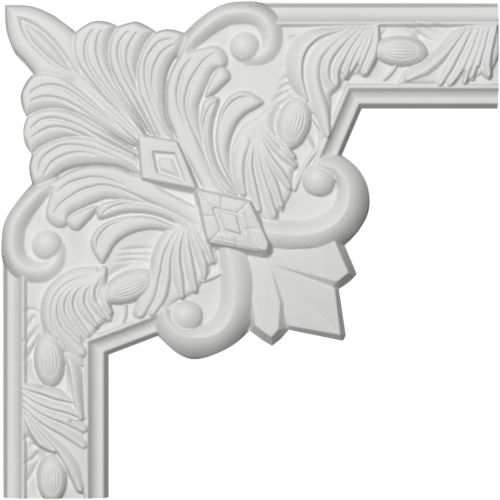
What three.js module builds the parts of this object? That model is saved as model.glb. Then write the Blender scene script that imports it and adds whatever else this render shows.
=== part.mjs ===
// Corner of a carved panel moulding, cast in one piece: two moulded arms leave a palmette
// corner at right angles.
// The back lies on the plane y = 0, the carving faces -y, one arm runs to +x and the other to -z.

import * as THREE from 'three';

// Sizes in millimetres
const OVERALL = 297.6;
const FACE_WIDTH = 63;
const EDGE_HEIGHT = 3.2;
const BAND_HEIGHT = 8.8;
const FILLET_HEIGHT = 14;
const FIELD_HEIGHT = 11;
const PALMETTE_GROUND = 7;
const LOBE_FOOT = 8.2;
const LOBE_RISE = 6.2;
const TIP_LEAF_FOOT = 6.5;
const TIP_LEAF_RISE = 6.5;
const FROND_FOOT = 10.3;
const FROND_RISE = 5.2;
const SCROLL_TOP = 16.5;
const SCROLL_DROP = 10;
const DISH_SCROLL_TOP = 18;
const DISH_SCROLL_DROP = 15;
const DISH_DEPTH = 7;
const EYE_RISE = 6;
const BALL_RISE = 8;
const SMALL_JEWEL_TOP = 19;
const LARGE_JEWEL_TOP = 23.2;
const TULIP_FOOT = 3.2;
const TULIP_TOP = 10.5;
const LEAF_FOOT = 11;
const LEAF_TOP = 17;
const LEAF_RISE = 4.5;
const BUD_RISE = 7.5;

// The ornament is laid out in parts of the overall length, from the outer corner to the right and down.
const PARTS = 496;
const PART = OVERALL / PARTS;
const FACE = FACE_WIDTH / PART;
const EDGE = 3;
const INNER_EDGE = EDGE + FACE;
const ARM_END = 498;
const GRID = PARTS + 5;
const CENTRE_X = 57;
const CENTRE_Y = 55;

// Where the outer borders start under the corner scrolls, and where the inner ones bend to the dish scrolls
const BORDER_START = 256;
const RIGHT_BEND = 362;
const LEFT_BEND = 355;
const RIGHT_CUT = [342, 155];
const LEFT_CUT = [158, 336];

// How much of its drawn width a finger of a leaf takes
const FINGER_FULLNESS = 1.3;

// How finely the face is cut into flat facets
const CURVE_STEPS = 5;
const FACE_VERTICES = 4500;
const PASSES = 10;
const TURNS = 5;
const STRAIGHT_STEP = 30;
const CREASE_STEP = 9;
const CREASE_CLOSEST = 5;
const CLOSEST = 1.4;
const EDGE_CLEARANCE = 1.8;

function path(...numbers) {
  const points = [];
  for (let i = 0; i < numbers.length; i += 2) points.push([numbers[i], numbers[i + 1]]);
  return points;
}

function swap(points) {
  return points.map(([x, y]) => [y, x]);
}

// Smooth open curve through the points.
function curve(points, steps = CURVE_STEPS) {
  if (points.length < 3) return points;
  const out = [];
  for (let i = 0; i < points.length - 1; i++) {
    const a = points[Math.max(i - 1, 0)];
    const b = points[i];
    const c = points[i + 1];
    const d = points[Math.min(i + 2, points.length - 1)];
    for (let k = 0; k < steps; k++) {
      const t = k / steps;
      const at = (n) => {
        const u = (c[n] - a[n]) / 2;
        const v = (d[n] - b[n]) / 2;
        const cubic = 2 * b[n] - 2 * c[n] + u + v;
        const square = -3 * b[n] + 3 * c[n] - 2 * u - v;
        return ((cubic * t + square) * t + u) * t + b[n];
      };
      out.push([at(0), at(1)]);
    }
  }
  out.push(points[points.length - 1]);
  return out;
}

// Smooth closed curve that has a corner only at its first point.
function loop(points, steps = CURVE_STEPS) {
  return curve([...points, points[0]], steps).slice(0, -1);
}

function isInside(x, y, ring) {
  let inside = false;
  for (let i = 0, j = ring.length - 1; i < ring.length; j = i++) {
    const [ax, ay] = ring[i];
    const [bx, by] = ring[j];
    if (ay > y !== by > y && x < ((bx - ax) * (y - ay)) / (by - ay) + ax) inside = !inside;
  }
  return inside;
}

// Nearest point of a line: its distance, the side it is passed on, the share of the line before it and the
// way to it.
function nearest(x, y, line) {
  let best = Infinity;
  let side = 1;
  let before = 0;
  let total = 0;
  let away = [0, 0];
  for (let i = 0; i + 1 < line.length; i++) {
    const dx = line[i + 1][0] - line[i][0];
    const dy = line[i + 1][1] - line[i][1];
    const length = Math.hypot(dx, dy);
    if (length < 1e-9) continue;
    const rx = x - line[i][0];
    const ry = y - line[i][1];
    const t = Math.min(Math.max((rx * dx + ry * dy) / length, 0), length);
    const ex = rx - (t * dx) / length;
    const ey = ry - (t * dy) / length;
    const gap = Math.hypot(ex, ey);
    if (gap < best) {
      best = gap;
      side = dx * ry - dy * rx > 0 ? 1 : -1;
      before = total + t;
      away = [ex, ey];
    }
    total += length;
  }
  const scale = Math.max(best, 1e-9);
  return { distance: best, side, share: before / total, way: [away[0] / scale, away[1] / scale] };
}

// A value given along a line as one number or as numbers evenly spaced over it.
function along(values, share) {
  if (!Array.isArray(values)) return values;
  const at = Math.min(share, 0.999999) * (values.length - 1);
  const i = Math.floor(at);
  return values[i] + (values[Math.min(i + 1, values.length - 1)] - values[i]) * (at - i);
}

function clamp(value) {
  return Math.min(Math.max(value, 0), 1);
}

// The carving is a stack of layers, each of which may raise or lower the height of a point in its own box.
const layers = [];

// Lines of the carving along which the facets are to meet.
const creases = [];

// Points at an even spacing along a line.
function spaced(line, spacing) {
  const out = [line[0]];
  let left = spacing;
  for (let i = 0; i + 1 < line.length; i++) {
    const dx = line[i + 1][0] - line[i][0];
    const dy = line[i + 1][1] - line[i][1];
    const length = Math.hypot(dx, dy);
    let at = left;
    for (; at < length; at += spacing) {
      out.push([line[i][0] + (dx * at) / length, line[i][1] + (dy * at) / length]);
    }
    left = at - length;
  }
  return out;
}

function layer(points, margin, change) {
  const xs = points.map((p) => p[0]);
  const ys = points.map((p) => p[1]);
  const low = [Math.min(...xs) - margin, Math.min(...ys) - margin];
  const high = [Math.max(...xs) + margin, Math.max(...ys) + margin];
  const box = [...low, ...high];
  layers.push({ box, change });
}

// Rounded raised shape within an outline; where its edge faces "lean" the rounding is wider.
function pillow(points, foot, rise, radius, lean = [0, 0], widening = 0) {
  const ring = loop(points);
  const closed = [...ring, ring[0]];
  creases.push(closed);
  layer(ring, 0, (height, x, y) => {
    if (!isInside(x, y, ring)) return height;
    const { distance, way } = nearest(x, y, closed);
    const turned = clamp(way[0] * lean[0] + way[1] * lean[1]);
    const t = clamp(distance / (radius * (1 + widening * turned)));
    return Math.max(height, foot + rise * Math.sqrt(1 - (1 - t) ** 2));
  });
}

// Flat-topped shape with straight sides, whose flanks rise from the foot at their own slopes.
function plateau(points, foot, top, slopes) {
  const slope = (i) => (Array.isArray(slopes) ? slopes[i] : slopes);
  creases.push([...points, points[0]]);
  layer(points, 0, (height, x, y) => {
    let rise = Infinity;
    points.forEach(([ax, ay], i) => {
      const [bx, by] = points[(i + 1) % points.length];
      const length = Math.hypot(bx - ax, by - ay);
      rise = Math.min(rise, (slope(i) * ((bx - ax) * (y - ay) - (by - ay) * (x - ax))) / length);
    });
    return rise > 0 ? Math.max(height, Math.min(top, foot + rise)) : height;
  });
}

// Sunk panel within an outline, with sloping sides.
function sink(points, depth, slope, smooth = false) {
  const ring = smooth ? loop(points) : points;
  const closed = [...ring, ring[0]];
  creases.push(closed);
  layer(ring, 0, (height, x, y) => {
    if (!isInside(x, y, ring)) return height;
    return height - Math.min(depth, slope * nearest(x, y, closed).distance);
  });
}

// Brings an area to one height.
function level(points, target) {
  layer(points, 0, (height, x, y) => (isInside(x, y, points) ? target : height));
}

// Sections of a long raised shape, as the share of the drop that is reached at a share of the width.
const ROUND = (t) => 1 - Math.sqrt(1 - t * t);
const ARCHED = (t) => t * t;

// Long raised shape along a spine, with its own width and drop on each side of it.
function blade(points, left, right, top, leftDrop, rightDrop = leftDrop, section = ROUND) {
  const spine = curve(points);
  const reach = Math.max(...[left, right].flat());
  creases.push(spine);
  layer(spine, reach, (height, x, y) => {
    const { distance, side, share } = nearest(x, y, spine);
    const t = distance / along(side > 0 ? right : left, share);
    if (t >= 1) return height;
    return Math.max(height, along(top, share) - along(side > 0 ? rightDrop : leftDrop, share) * section(t));
  });
}

// Groove of rounded section along a line.
function groove(points, width, depth) {
  const line = curve(points);
  creases.push(line);
  layer(line, Math.max(...[width].flat()), (height, x, y) => {
    const { distance, share } = nearest(x, y, line);
    const t = clamp(distance / along(width, share));
    return height - along(depth, share) * (1 - t * t * (3 - 2 * t));
  });
}

// Half of a ball or of an egg, turned by an angle in degrees.
function dome(x0, y0, long, short, degrees, foot, rise) {
  const angle = THREE.MathUtils.degToRad(degrees);
  for (const share of [1.04, 0.8, 0]) {
    creases.push(Array.from({ length: 17 }, (_, i) => {
      const u = long * share * Math.cos((Math.PI * i) / 8);
      const v = short * share * Math.sin((Math.PI * i) / 8);
      return [
        x0 + u * Math.cos(angle) - v * Math.sin(angle),
        y0 + u * Math.sin(angle) + v * Math.cos(angle),
      ];
    }));
  }
  layer([[x0, y0]], long, (height, x, y) => {
    const u = ((x - x0) * Math.cos(angle) + (y - y0) * Math.sin(angle)) / long;
    const v = ((y - y0) * Math.cos(angle) - (x - x0) * Math.sin(angle)) / short;
    const room = 1 - u * u - v * v;
    return room > 0 ? Math.max(height, foot + rise * Math.sqrt(room)) : height;
  });
}

// Carves the same thing on both sides of the diagonal through the outer corner.
function onBothSides(carve) {
  carve((points) => points, [-1, 0], (first, second) => [first, second]);
  carve(swap, [0, -1], (first, second) => [second, first]);
}

// Section of the moulding from its edge to its field, as distance in parts and height in millimetres.
const HOLLOW_RISE = FILLET_HEIGHT - BAND_HEIGHT;
const SECTION = [
  [0, EDGE_HEIGHT],
  [4.3, BAND_HEIGHT - 0.2],
  [5.2, BAND_HEIGHT],
  [10, BAND_HEIGHT],
  [12, BAND_HEIGHT + 0.07 * HOLLOW_RISE],
  [14, BAND_HEIGHT + 0.2 * HOLLOW_RISE],
  [16, BAND_HEIGHT + 0.4 * HOLLOW_RISE],
  [17.2, BAND_HEIGHT + 0.58 * HOLLOW_RISE],
  [19.4, FILLET_HEIGHT],
  [22, FILLET_HEIGHT],
  [24.4, FIELD_HEIGHT],
];
const SECTION_REACH = SECTION[SECTION.length - 1][0];

function sectionHeight(distance) {
  if (distance <= 0) return EDGE_HEIGHT;
  for (let i = 0; i + 1 < SECTION.length; i++) {
    const [a, low] = SECTION[i];
    const [b, high] = SECTION[i + 1];
    if (distance <= b) return low + ((high - low) * (distance - a)) / (b - a);
  }
  return FIELD_HEIGHT;
}

// Each border follows the outside of an open area, given by lines that have the area on their right.
const BEYOND = ARM_END + 20;
const BORDERS = [
  [path(BEYOND, EDGE, BORDER_START, EDGE)],
  [path(EDGE, BORDER_START, EDGE, BEYOND)],
  [
    path(INNER_EDGE, INNER_EDGE, BEYOND, INNER_EDGE),
    [RIGHT_CUT, [RIGHT_BEND, INNER_EDGE]],
    path(BEYOND, 158, INNER_EDGE, 158),
  ],
  [
    path(INNER_EDGE, BEYOND, INNER_EDGE, INNER_EDGE),
    [[INNER_EDGE, LEFT_BEND], LEFT_CUT],
    path(162, INNER_EDGE, 162, BEYOND),
  ],
];

function groundHeight(x, y) {
  if (x < 186 && y < 186) return PALMETTE_GROUND;
  if (x < BORDER_START && y < BORDER_START) return FIELD_HEIGHT;
  let height = Infinity;
  for (const border of BORDERS) {
    const distance = Math.max(...border.map(([[ax, ay], [bx, by]]) => {
      const side = (bx - ax) * (y - ay) - (by - ay) * (x - ax);
      return -side / Math.hypot(bx - ax, by - ay);
    }));
    if (distance < SECTION_REACH) height = Math.min(height, sectionHeight(distance));
  }
  return height === Infinity ? FIELD_HEIGHT : height;
}

function carveTipLeaf() {
  pillow(path(5, 5, 30, 6, 50, 13.5, 70, 27, 78, 38, 82, 58, 84, 84, 58, 82, 38, 78, 27, 65, 12, 48, 6, 26),
    TIP_LEAF_FOOT, TIP_LEAF_RISE, 12);
  const recess = path(11, 10, 33, 15, 54, 31, 70, 51, 79, 72, 81, 80, 73, 79, 48, 71, 28, 54, 15, 34);
  sink(recess, 3.6, 1.6, true);
  const leaf = path(14, 13, 31, 19, 49, 33, 65, 52, 74, 70, 78, 78, 68, 74, 47, 65, 30, 50, 18, 32);
  pillow(leaf, TIP_LEAF_FOOT + 3.5, 4.2, 9);
  const stem = [7, 8, 7, 5];
  blade(path(76, 70, 95, 90, 120, 115, 145, 142), stem, stem, [13, 14, 16, 18], [3, 3, 3, 2]);
}

// The lobes of the palmette, each with its outline and the two flutes cut into it.
const LOBES = [
  {
    outline: path(76, 32, 85, 25.5, 95, 21.2, 107, 22, 118, 26.5, 112, 37, 109, 50, 110, 64, 115, 78, 126,
      97, 146, 133, 139, 137, 124, 120, 105, 100, 91, 83, 81, 70, 75, 58, 73, 45),
    flutes: [path(93, 32, 88, 40, 86, 50, 88, 62, 96, 76, 108, 92, 122, 110, 136, 127),
      path(101, 33, 98, 42, 98, 52, 101, 64, 108, 78, 117, 92)],
  },
  {
    outline: path(118, 26.5, 127, 23.5, 137, 22, 147, 26, 156, 32, 148, 40, 142, 52, 138, 65, 137, 78,
      141, 96, 147, 112, 158, 138, 152, 138, 140, 119, 128, 101, 116, 80, 110, 64, 109, 50, 112, 37),
    flutes: [path(128, 33, 121, 42, 119, 52, 121, 64, 127, 80, 137, 98, 148, 118),
      path(137, 34, 131, 44, 128, 54, 129, 66, 133, 78, 140, 94)],
  },
  {
    outline: path(156, 32, 165, 29.5, 175, 30, 184, 33, 187, 40, 181, 50, 172, 62, 167, 75, 165, 90, 165,
      105, 168, 122, 176, 141, 161, 139, 152, 124, 145, 108, 139, 95, 137, 78, 138, 65, 142, 52, 148, 40),
    flutes: [path(170, 40, 160, 43, 152, 52, 147, 62, 146, 74, 148, 88, 153, 104, 160, 122),
      path(173, 46, 164, 52, 158, 61, 154, 72, 153, 84, 156, 98)],
  },
];

function carvePalmette() {
  for (const { outline, flutes } of LOBES) {
    onBothSides((place, lean) => {
      pillow(place(outline), LOBE_FOOT, LOBE_RISE, 4.2, lean, 1.9);
      for (const flute of flutes) groove(place(flute), [2.2, 3, 3, 2.4, 1.2], [1.6, 2.4, 2.2, 1.6, 0.6]);
    });
  }
}

const FRONDS = [
  {
    outline: path(186, 42, 192, 50, 200, 49, 210, 46.5, 217, 46.5, 223, 50, 227, 56, 228, 62, 225, 68,
      215, 71, 208, 84, 202, 98, 199, 108, 201, 125, 204, 145, 209, 160, 216, 175, 228, 192, 205, 192,
      191, 166, 179, 146, 174, 133, 168, 118, 166, 100, 167, 85, 172, 70, 179, 57),
    radius: 4.5,
    flutes: [path(213, 55, 204, 62, 197, 72, 191, 82, 188, 92, 186, 104, 189, 118, 196, 135, 206, 156,
      218, 178),
      path(191, 60, 184, 70, 180, 82, 178, 95, 180, 108, 186, 125)],
  },
  {
    outline: path(217, 69, 224, 68, 229, 71, 231, 76, 230, 80, 222, 88, 213, 96, 206, 98, 206, 92, 211, 80),
    radius: 4,
    flutes: [],
  },
  {
    outline: path(203, 103, 208, 98, 215, 97, 220, 100, 217, 112, 214, 122, 213, 135, 214, 148, 217, 160,
      223, 173, 238, 195, 226, 192, 214, 176, 206, 158, 202, 140, 200, 120),
    radius: 3.5,
    flutes: [path(213, 104, 208, 112, 205, 122, 204, 132, 205, 145, 208, 157, 213, 170, 220, 182)],
  },
  {
    outline: path(221, 108, 228, 98, 235, 93, 243, 91, 252, 93.5, 258, 97, 264, 103, 256, 109, 247, 114,
      239, 122, 233, 134, 230, 147, 230, 157, 233, 172, 240, 195, 229, 180, 220, 162, 216, 146, 216, 132,
      218, 119),
    radius: 3.5,
    flutes: [path(250, 98, 240, 99, 231, 105, 225, 113, 222, 122)],
  },
];

function carveFronds() {
  for (const { outline, radius, flutes } of FRONDS) {
    onBothSides((place, lean) => {
      pillow(place(outline), FROND_FOOT, FROND_RISE, radius, lean, 1.2);
      for (const flute of flutes) groove(place(flute), [1.8, 3, 3.2, 2.6, 1.4], [1.2, 2.4, 2.4, 1.8, 0.8]);
    });
  }
}

function carveCornerScrolls() {
  const spine = path(182, 56, 191, 41, 202, 30, 213, 21, 225, 14.5, 238, 12.5, 250, 12.8, 262, 17.5, 270,
    29, 271, 42, 266, 52, 257, 57, 247, 59);
  const outer = [7, 9.5, 12, 13, 13.5, 13.5, 13, 12.5, 12, 12, 11.5, 10, 7];
  const inner = [7, 9.5, 11, 12, 13, 12.5, 12.5, 12.5, 12, 11.4, 10, 9, 6];
  const top = [3.5, 1.5, 0.5, 0, 0, 0, 0, 0, 0, 0.5, 1.5, 2.5, 3.5].map((less) => SCROLL_TOP - less);
  const innerDrop = top.map((height) => height - FIELD_HEIGHT + 0.2);
  const outerDrop = innerDrop.map((drop, i) => (i < 8 ? SCROLL_DROP : drop));
  onBothSides((place, lean, sides) => {
    level(place([...spine.slice(1, 7), ...path(256, -2, 176, -2, 176, 36)]), EDGE_HEIGHT);
    blade(place(spine), ...sides(outer, inner), top, ...sides(outerDrop, innerDrop), ARCHED);
    const [[x, y]] = place([[245, 47.5]]);
    dome(x, y, 15, 15, 0, FIELD_HEIGHT - 0.5, EYE_RISE);
  });
}

// The two large scrolls that hold the bowl of the palmette on the inner side of the corner.
function carveDishScrolls() {
  const top = [1, 0.5, 0, 0, 0, 0, 0, 0, 0.5, 1.5, 3, 4.5].map((less) => DISH_SCROLL_TOP - less);
  const outerShares = [0.6, 0.7, 0.8, 0.9, 1, 1, 1, 1, 0.95, 0.8, 0.6, 0.4];
  const outerDrop = outerShares.map((share) => DISH_SCROLL_DROP * share);
  const innerDrop = [1, 1, 1, 1, 1, 1, 1, 1, 1, 1, 0.85, 0.6].map((share) => DISH_DEPTH * share);
  const inner = [12, 14, 16, 18, 20, 22, 22, 18, 14, 10, 8, 6];
  const right = path(246, 224, 266, 228, 288, 230, 308, 227.5, 323, 221, 335, 212, 342, 201, 343.5, 190,
    341, 179, 335.5, 170, 328, 165, 320, 164);
  level([...right.slice(1, 10), ...path(330, 158, 342, 156.5, 380, 156.5, 380, 262, 262, 262)], EDGE_HEIGHT);
  blade(right, inner, [14, 17, 19, 20.5, 25, 31, 30, 28, 26, 22, 15, 8], top, innerDrop, outerDrop, ARCHED);
  const left = path(224, 246, 228, 262, 231, 284, 229, 302, 224, 315, 216, 326, 205, 333.5, 194, 336, 181,
    334, 171, 327, 165, 318, 164, 308);
  level([...left.slice(1, 10), ...path(158, 330, 156.5, 337, 156.5, 380, 262, 380, 262, 262)], EDGE_HEIGHT);
  blade(left, [14, 20, 22.5, 23.5, 27, 28, 25, 23, 22, 20, 14, 8], inner, top, outerDrop, innerDrop, ARCHED);
  dome(317, 178, 17.5, 17.5, 0, FIELD_HEIGHT - 1, BALL_RISE);
  dome(186, 315, 16.5, 16.5, 0, FIELD_HEIGHT - 1, BALL_RISE);
}

function carveTulip() {
  level(path(256, 250, 350, 246, 365, 274, 350, 350, 272, 350, 250, 331), TULIP_FOOT);
  plateau(path(246, 242, 345, 246, 357, 274, 350, 282, 339, 289, 268, 257), TULIP_FOOT, TULIP_TOP,
    [1.6, 1.15, 1.15, 1.15, 1.2, 1.6]);
  plateau(path(242, 246, 268, 258, 289, 330, 280, 340, 272, 346, 262, 340, 250, 331), TULIP_FOOT, TULIP_TOP,
    [1.6, 0.9, 0.9, 1, 1, 1, 1.6]);
  plateau(path(250, 238, 339, 290, 346, 336, 343, 341, 290, 330), TULIP_FOOT, TULIP_TOP,
    [3, 0.95, 0.95, 0.95, 3]);
  groove(path(280, 276, 305, 300, 333, 327), [1, 5, 9], [0, 0.9, 1.2]);
}

function carveJewels() {
  plateau(path(135, 132, 181, 140, 205, 198, 139, 185), FIELD_HEIGHT - 2, SMALL_JEWEL_TOP,
    [3, 2.2, 1.3, 2.2]);
  sink(path(152, 151, 176, 153, 187, 184, 157, 174), 2.6, 1.3);
  plateau(path(157, 157, 173, 158, 182, 179, 160, 171), SMALL_JEWEL_TOP - 2.6, SMALL_JEWEL_TOP - 0.8, 0.6);
  const face = path(196, 190, 249, 202, 260, 252, 209, 243);
  const inner = path(213, 207, 238, 211, 243, 236, 219, 231);
  plateau(path(190, 184, 254, 199, 276, 248, 264, 262, 204, 250), FIELD_HEIGHT - 3, LARGE_JEWEL_TOP - 1.2,
    [3, 2.5, 1.6, 1.1, 2.2]);
  plateau(face, LARGE_JEWEL_TOP - 2.7, LARGE_JEWEL_TOP, 0.26);
  sink(inner, 1.6, 0.6);
  face.forEach((corner, i) => groove([corner, inner[i]], 1.6, 0.8));
}

const FINGER_TOPS = [2, 0.5, 0, 0.3, 2.2].map((less) => LEAF_TOP - less);
const FINGER_DROPS = [2, 3.5, 4, 4.5, 4];

// A leaf is a low rounded body and a row of fingers, each a spine with its widths on both sides.
function fingers(list) {
  const full = (widths) => widths.map((width) => width * FINGER_FULLNESS);
  for (const [spine, left, right = left] of list) {
    blade(spine, full(left), full(right), FINGER_TOPS, FINGER_DROPS);
  }
}

function carveLargeLeaves() {
  pillow(path(258, 116, 272, 106, 284, 112, 290, 128, 298, 146, 297, 163, 290, 171, 292, 187, 285, 204, 278,
    218, 268, 221, 258, 212, 248, 200, 238, 189, 231, 168, 231, 148, 243, 126), LEAF_FOOT, LEAF_RISE - 1.5,
    7);
  fingers([
    [path(245, 142, 239, 158, 238, 176, 243, 193), [4, 5, 5, 3]],
    [path(252, 146, 249, 165, 252, 187, 258, 209), [2, 3, 4, 3]],
    [path(256, 146, 258, 165, 264, 188, 272, 214), [2, 3, 4, 4]],
    [path(259, 145, 264, 163, 272, 183, 280, 205), [2, 3, 4, 3]],
    [path(261, 141, 268, 157, 278, 172, 288, 187), [2, 3, 4, 3]],
    [path(264, 135, 274, 149, 285, 161, 294, 168), [2, 3.2, 3.5, 2]],
    [path(268, 128, 279, 141, 289, 150, 296, 157), [2, 3.2, 3.5, 2]],
  ]);
  pillow(path(190, 218, 200, 226, 210, 240, 218, 255, 217, 263, 210, 266, 210, 273, 203, 281, 197, 290, 186,
    297, 178, 300, 163, 313, 150, 320, 139, 320, 134, 312, 142, 300, 151, 280, 154, 258, 160, 240, 172,
    226), LEAF_FOOT, LEAF_RISE - 1.5, 7);
  fingers([
    [path(178, 226, 166, 240, 159, 256, 156, 272, 150, 292, 140, 312), [3, 4, 4, 4, 6, 5]],
    [path(181, 227, 172, 243, 167, 260, 165, 278, 160, 297, 152, 311), [2, 3, 3.5, 4.5, 5, 4]],
    [path(184, 227, 178, 243, 176, 260, 178, 278, 181, 295), [2, 3, 4, 4.5, 3]],
    [path(187, 227, 186, 243, 188, 260, 191, 276, 194, 289), [2, 3, 4, 4, 3]],
    [path(190, 226, 194, 240, 199, 254, 203, 267, 204, 277), [2, 3, 4, 4, 2]],
    [path(194, 224, 201, 237, 207, 249, 212, 261), [2, 3, 3.5, 2]],
  ]);
}

function carveRightArm() {
  pillow(path(377, 25, 377, 58, 366, 75, 358, 74, 344, 81, 337, 91, 331, 96, 330, 112, 318, 118, 306, 108,
    298, 96, 293, 82, 292, 68, 295, 55, 302, 43, 314, 33, 330, 27), LEAF_FOOT, LEAF_RISE - 1, 6);
  fingers([
    [path(346, 28, 322, 34, 306, 45, 298, 58, 296, 72, 298, 86, 304, 102), [2, 4, 4, 4, 4, 4, 3]],
    [
      path(352, 28, 333, 40, 318, 53, 312.5, 66, 311.5, 80, 314.5, 94, 320, 110, 325.5, 134),
      [1, 3, 5, 6, 6.5, 6.5, 6, 4],
      [1, 3, 4.5, 5, 5, 5, 5, 3],
    ],
    [
      path(358, 29, 342, 41, 330, 54, 325, 66, 325, 78, 331, 88),
      [1, 3, 4, 4, 4, 3],
      [1, 3, 3.5, 3.5, 4, 4],
    ],
    [path(363, 29, 350, 43, 341, 57, 335, 70, 335, 84), [1, 3, 4, 4, 3], [1, 3, 3, 3, 3]],
    [path(367, 29, 357, 45, 349, 59, 345, 76), [1, 3, 3.5, 2]],
    [path(370, 29, 363, 43, 357, 57, 351, 70), [1, 3, 3.5, 2]],
    [path(373, 29, 368, 42, 362, 56, 358, 69), [1, 3, 3.5, 2]],
    [path(376, 28, 374, 42, 370, 56, 364, 71), [2, 4, 5, 4], [2, 3, 4, 4]],
  ]);
  pillow(path(453, 31, 470, 26, 495, 25, 500, 45, 496, 63, 487, 77, 480, 75, 472, 81, 464, 85, 440, 85.5,
    400, 84.5, 404, 78, 414, 69, 430, 57, 441, 44), LEAF_FOOT, LEAF_RISE - 1, 6);
  fingers([
    [path(464, 30, 447, 44, 433, 57, 420, 69, 403, 80), [1, 4, 6, 7, 4], [1, 3, 4, 7, 5]],
    [path(470, 30, 458, 49, 448, 67, 439, 83), [1, 3.5, 4, 3]],
    [path(477, 30, 467, 51, 458, 70, 449, 83), [1, 3.5, 4, 3]],
    [path(482, 30, 474, 51, 467, 68, 463, 82), [1, 3, 3.5, 2.5]],
    [path(487, 29, 480, 49, 475, 65, 471, 78), [1, 3, 3.5, 2.5]],
    [path(494, 28, 488, 46, 485, 62, 486, 74), [2, 4, 4.5, 4], [1, 3, 3.5, 3]],
  ]);
}

function carveLeftArm() {
  pillow(path(60, 276, 100, 268, 108, 285, 112, 305, 112, 320, 104, 323, 97, 330, 92, 341, 84, 342, 84, 352,
    84, 366, 75, 362, 60, 346, 46, 337, 42, 312, 46, 295), LEAF_FOOT, LEAF_RISE - 1, 6);
  fingers([
    [path(96, 270, 70, 277, 55, 289, 49, 301, 47.5, 315, 50, 328, 55, 337), [2, 4, 4, 4, 4, 4, 3]],
    [
      path(98, 271, 76, 280, 61, 291, 55, 304, 54.5, 317, 60, 331, 68, 341, 79, 352),
      [1, 3, 3.2, 3.2, 3.2, 4, 6, 6],
    ],
    [path(100, 272, 82, 281, 68, 290, 62, 301, 62, 312, 68, 324, 79, 336), [1, 3, 3.2, 3.2, 3.2, 4, 3]],
    [path(101, 272, 87, 281, 75, 289, 70, 300, 71, 311, 77, 322, 87, 334), [1, 3, 3.2, 3.2, 3.5, 4, 3]],
    [path(102, 272, 92, 281, 83, 289, 80, 299, 82, 308, 89, 318, 96, 326), [1, 3, 3.5, 4, 4, 4, 2]],
    [path(103, 271, 97, 280, 92, 288, 91, 297, 95, 306, 103, 317), [1, 3, 3.5, 4, 4, 3]],
    [path(104, 269, 102, 280, 100, 291, 103, 302, 109, 312), [2, 3.5, 4, 4.5, 3]],
  ]);
  pillow(path(66, 366, 78, 368, 83, 382, 85, 400, 88, 420, 85, 430, 88, 448, 90, 470, 90, 489, 80, 487, 69,
    470, 59, 452, 42, 448, 31, 438, 24, 425, 24, 386, 45, 387, 66, 392), LEAF_FOOT, LEAF_RISE - 1, 6);
  fingers([
    [path(70, 360, 75, 376, 78, 396, 83, 416), [3, 4, 4, 3], [3, 7, 7, 4]],
    [path(24, 386, 40, 389, 57, 394, 73, 400), [2, 3, 4, 2]],
    [path(24, 391, 38, 399, 53, 404.5, 67, 408, 81, 414), [2, 3, 3.5, 3.5, 3]],
    [path(25, 398, 38, 407, 52, 413.5, 68, 419, 84, 427), [2, 3, 3.5, 4, 4]],
    [path(26, 405, 38, 415, 50, 422.5, 66, 431, 84, 443), [2, 3, 3.5, 4, 4]],
    [
      path(27, 411, 38, 424, 50, 436, 64, 451, 76, 468, 84, 484),
      [2, 3, 4, 5, 7, 6],
      [2, 3, 4, 4.5, 5, 4],
    ],
    [path(27, 418, 34, 430, 43, 441, 54, 448), [2, 3, 4, 3]],
  ]);
}

function carveBuds() {
  const foot = LEAF_FOOT + 0.5;
  dome(292, 123, 24, 15, 107, foot, BUD_RISE);
  dome(399, 52, 26, 14.5, 3, foot, BUD_RISE);
  dome(49.5, 360, 23, 12.5, 90, foot, BUD_RISE);
  dome(130, 286, 28, 14, -25, foot, BUD_RISE);
  dome(52, 478, 23, 12.5, 90, foot, BUD_RISE);
}

function heightAt(x, y) {
  let height = groundHeight(x, y);
  for (const { box, change } of layers) {
    if (x >= box[0] && y >= box[1] && x <= box[2] && y <= box[3]) height = change(height, x, y);
  }
  return height;
}

// Points along a straight edge, close together where the section of the moulding turns.
function straight(a, b) {
  const length = Math.hypot(b[0] - a[0], b[1] - a[1]);
  const count = Math.max(1, Math.round(length / STRAIGHT_STEP));
  return Array.from({ length: count }, (_, i) => [0, 1].map((n) => a[n] + ((b[n] - a[n]) * i) / count));
}

function armEnd(place) {
  const outer = SECTION.slice(1).map(([distance]) => EDGE + distance);
  const inner = SECTION.slice(1).map(([distance]) => INNER_EDGE - distance).reverse();
  return [...outer, 35, 44, 54, 64, 74, ...inner].map((y) => place([[ARM_END, y]])[0]);
}

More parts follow.
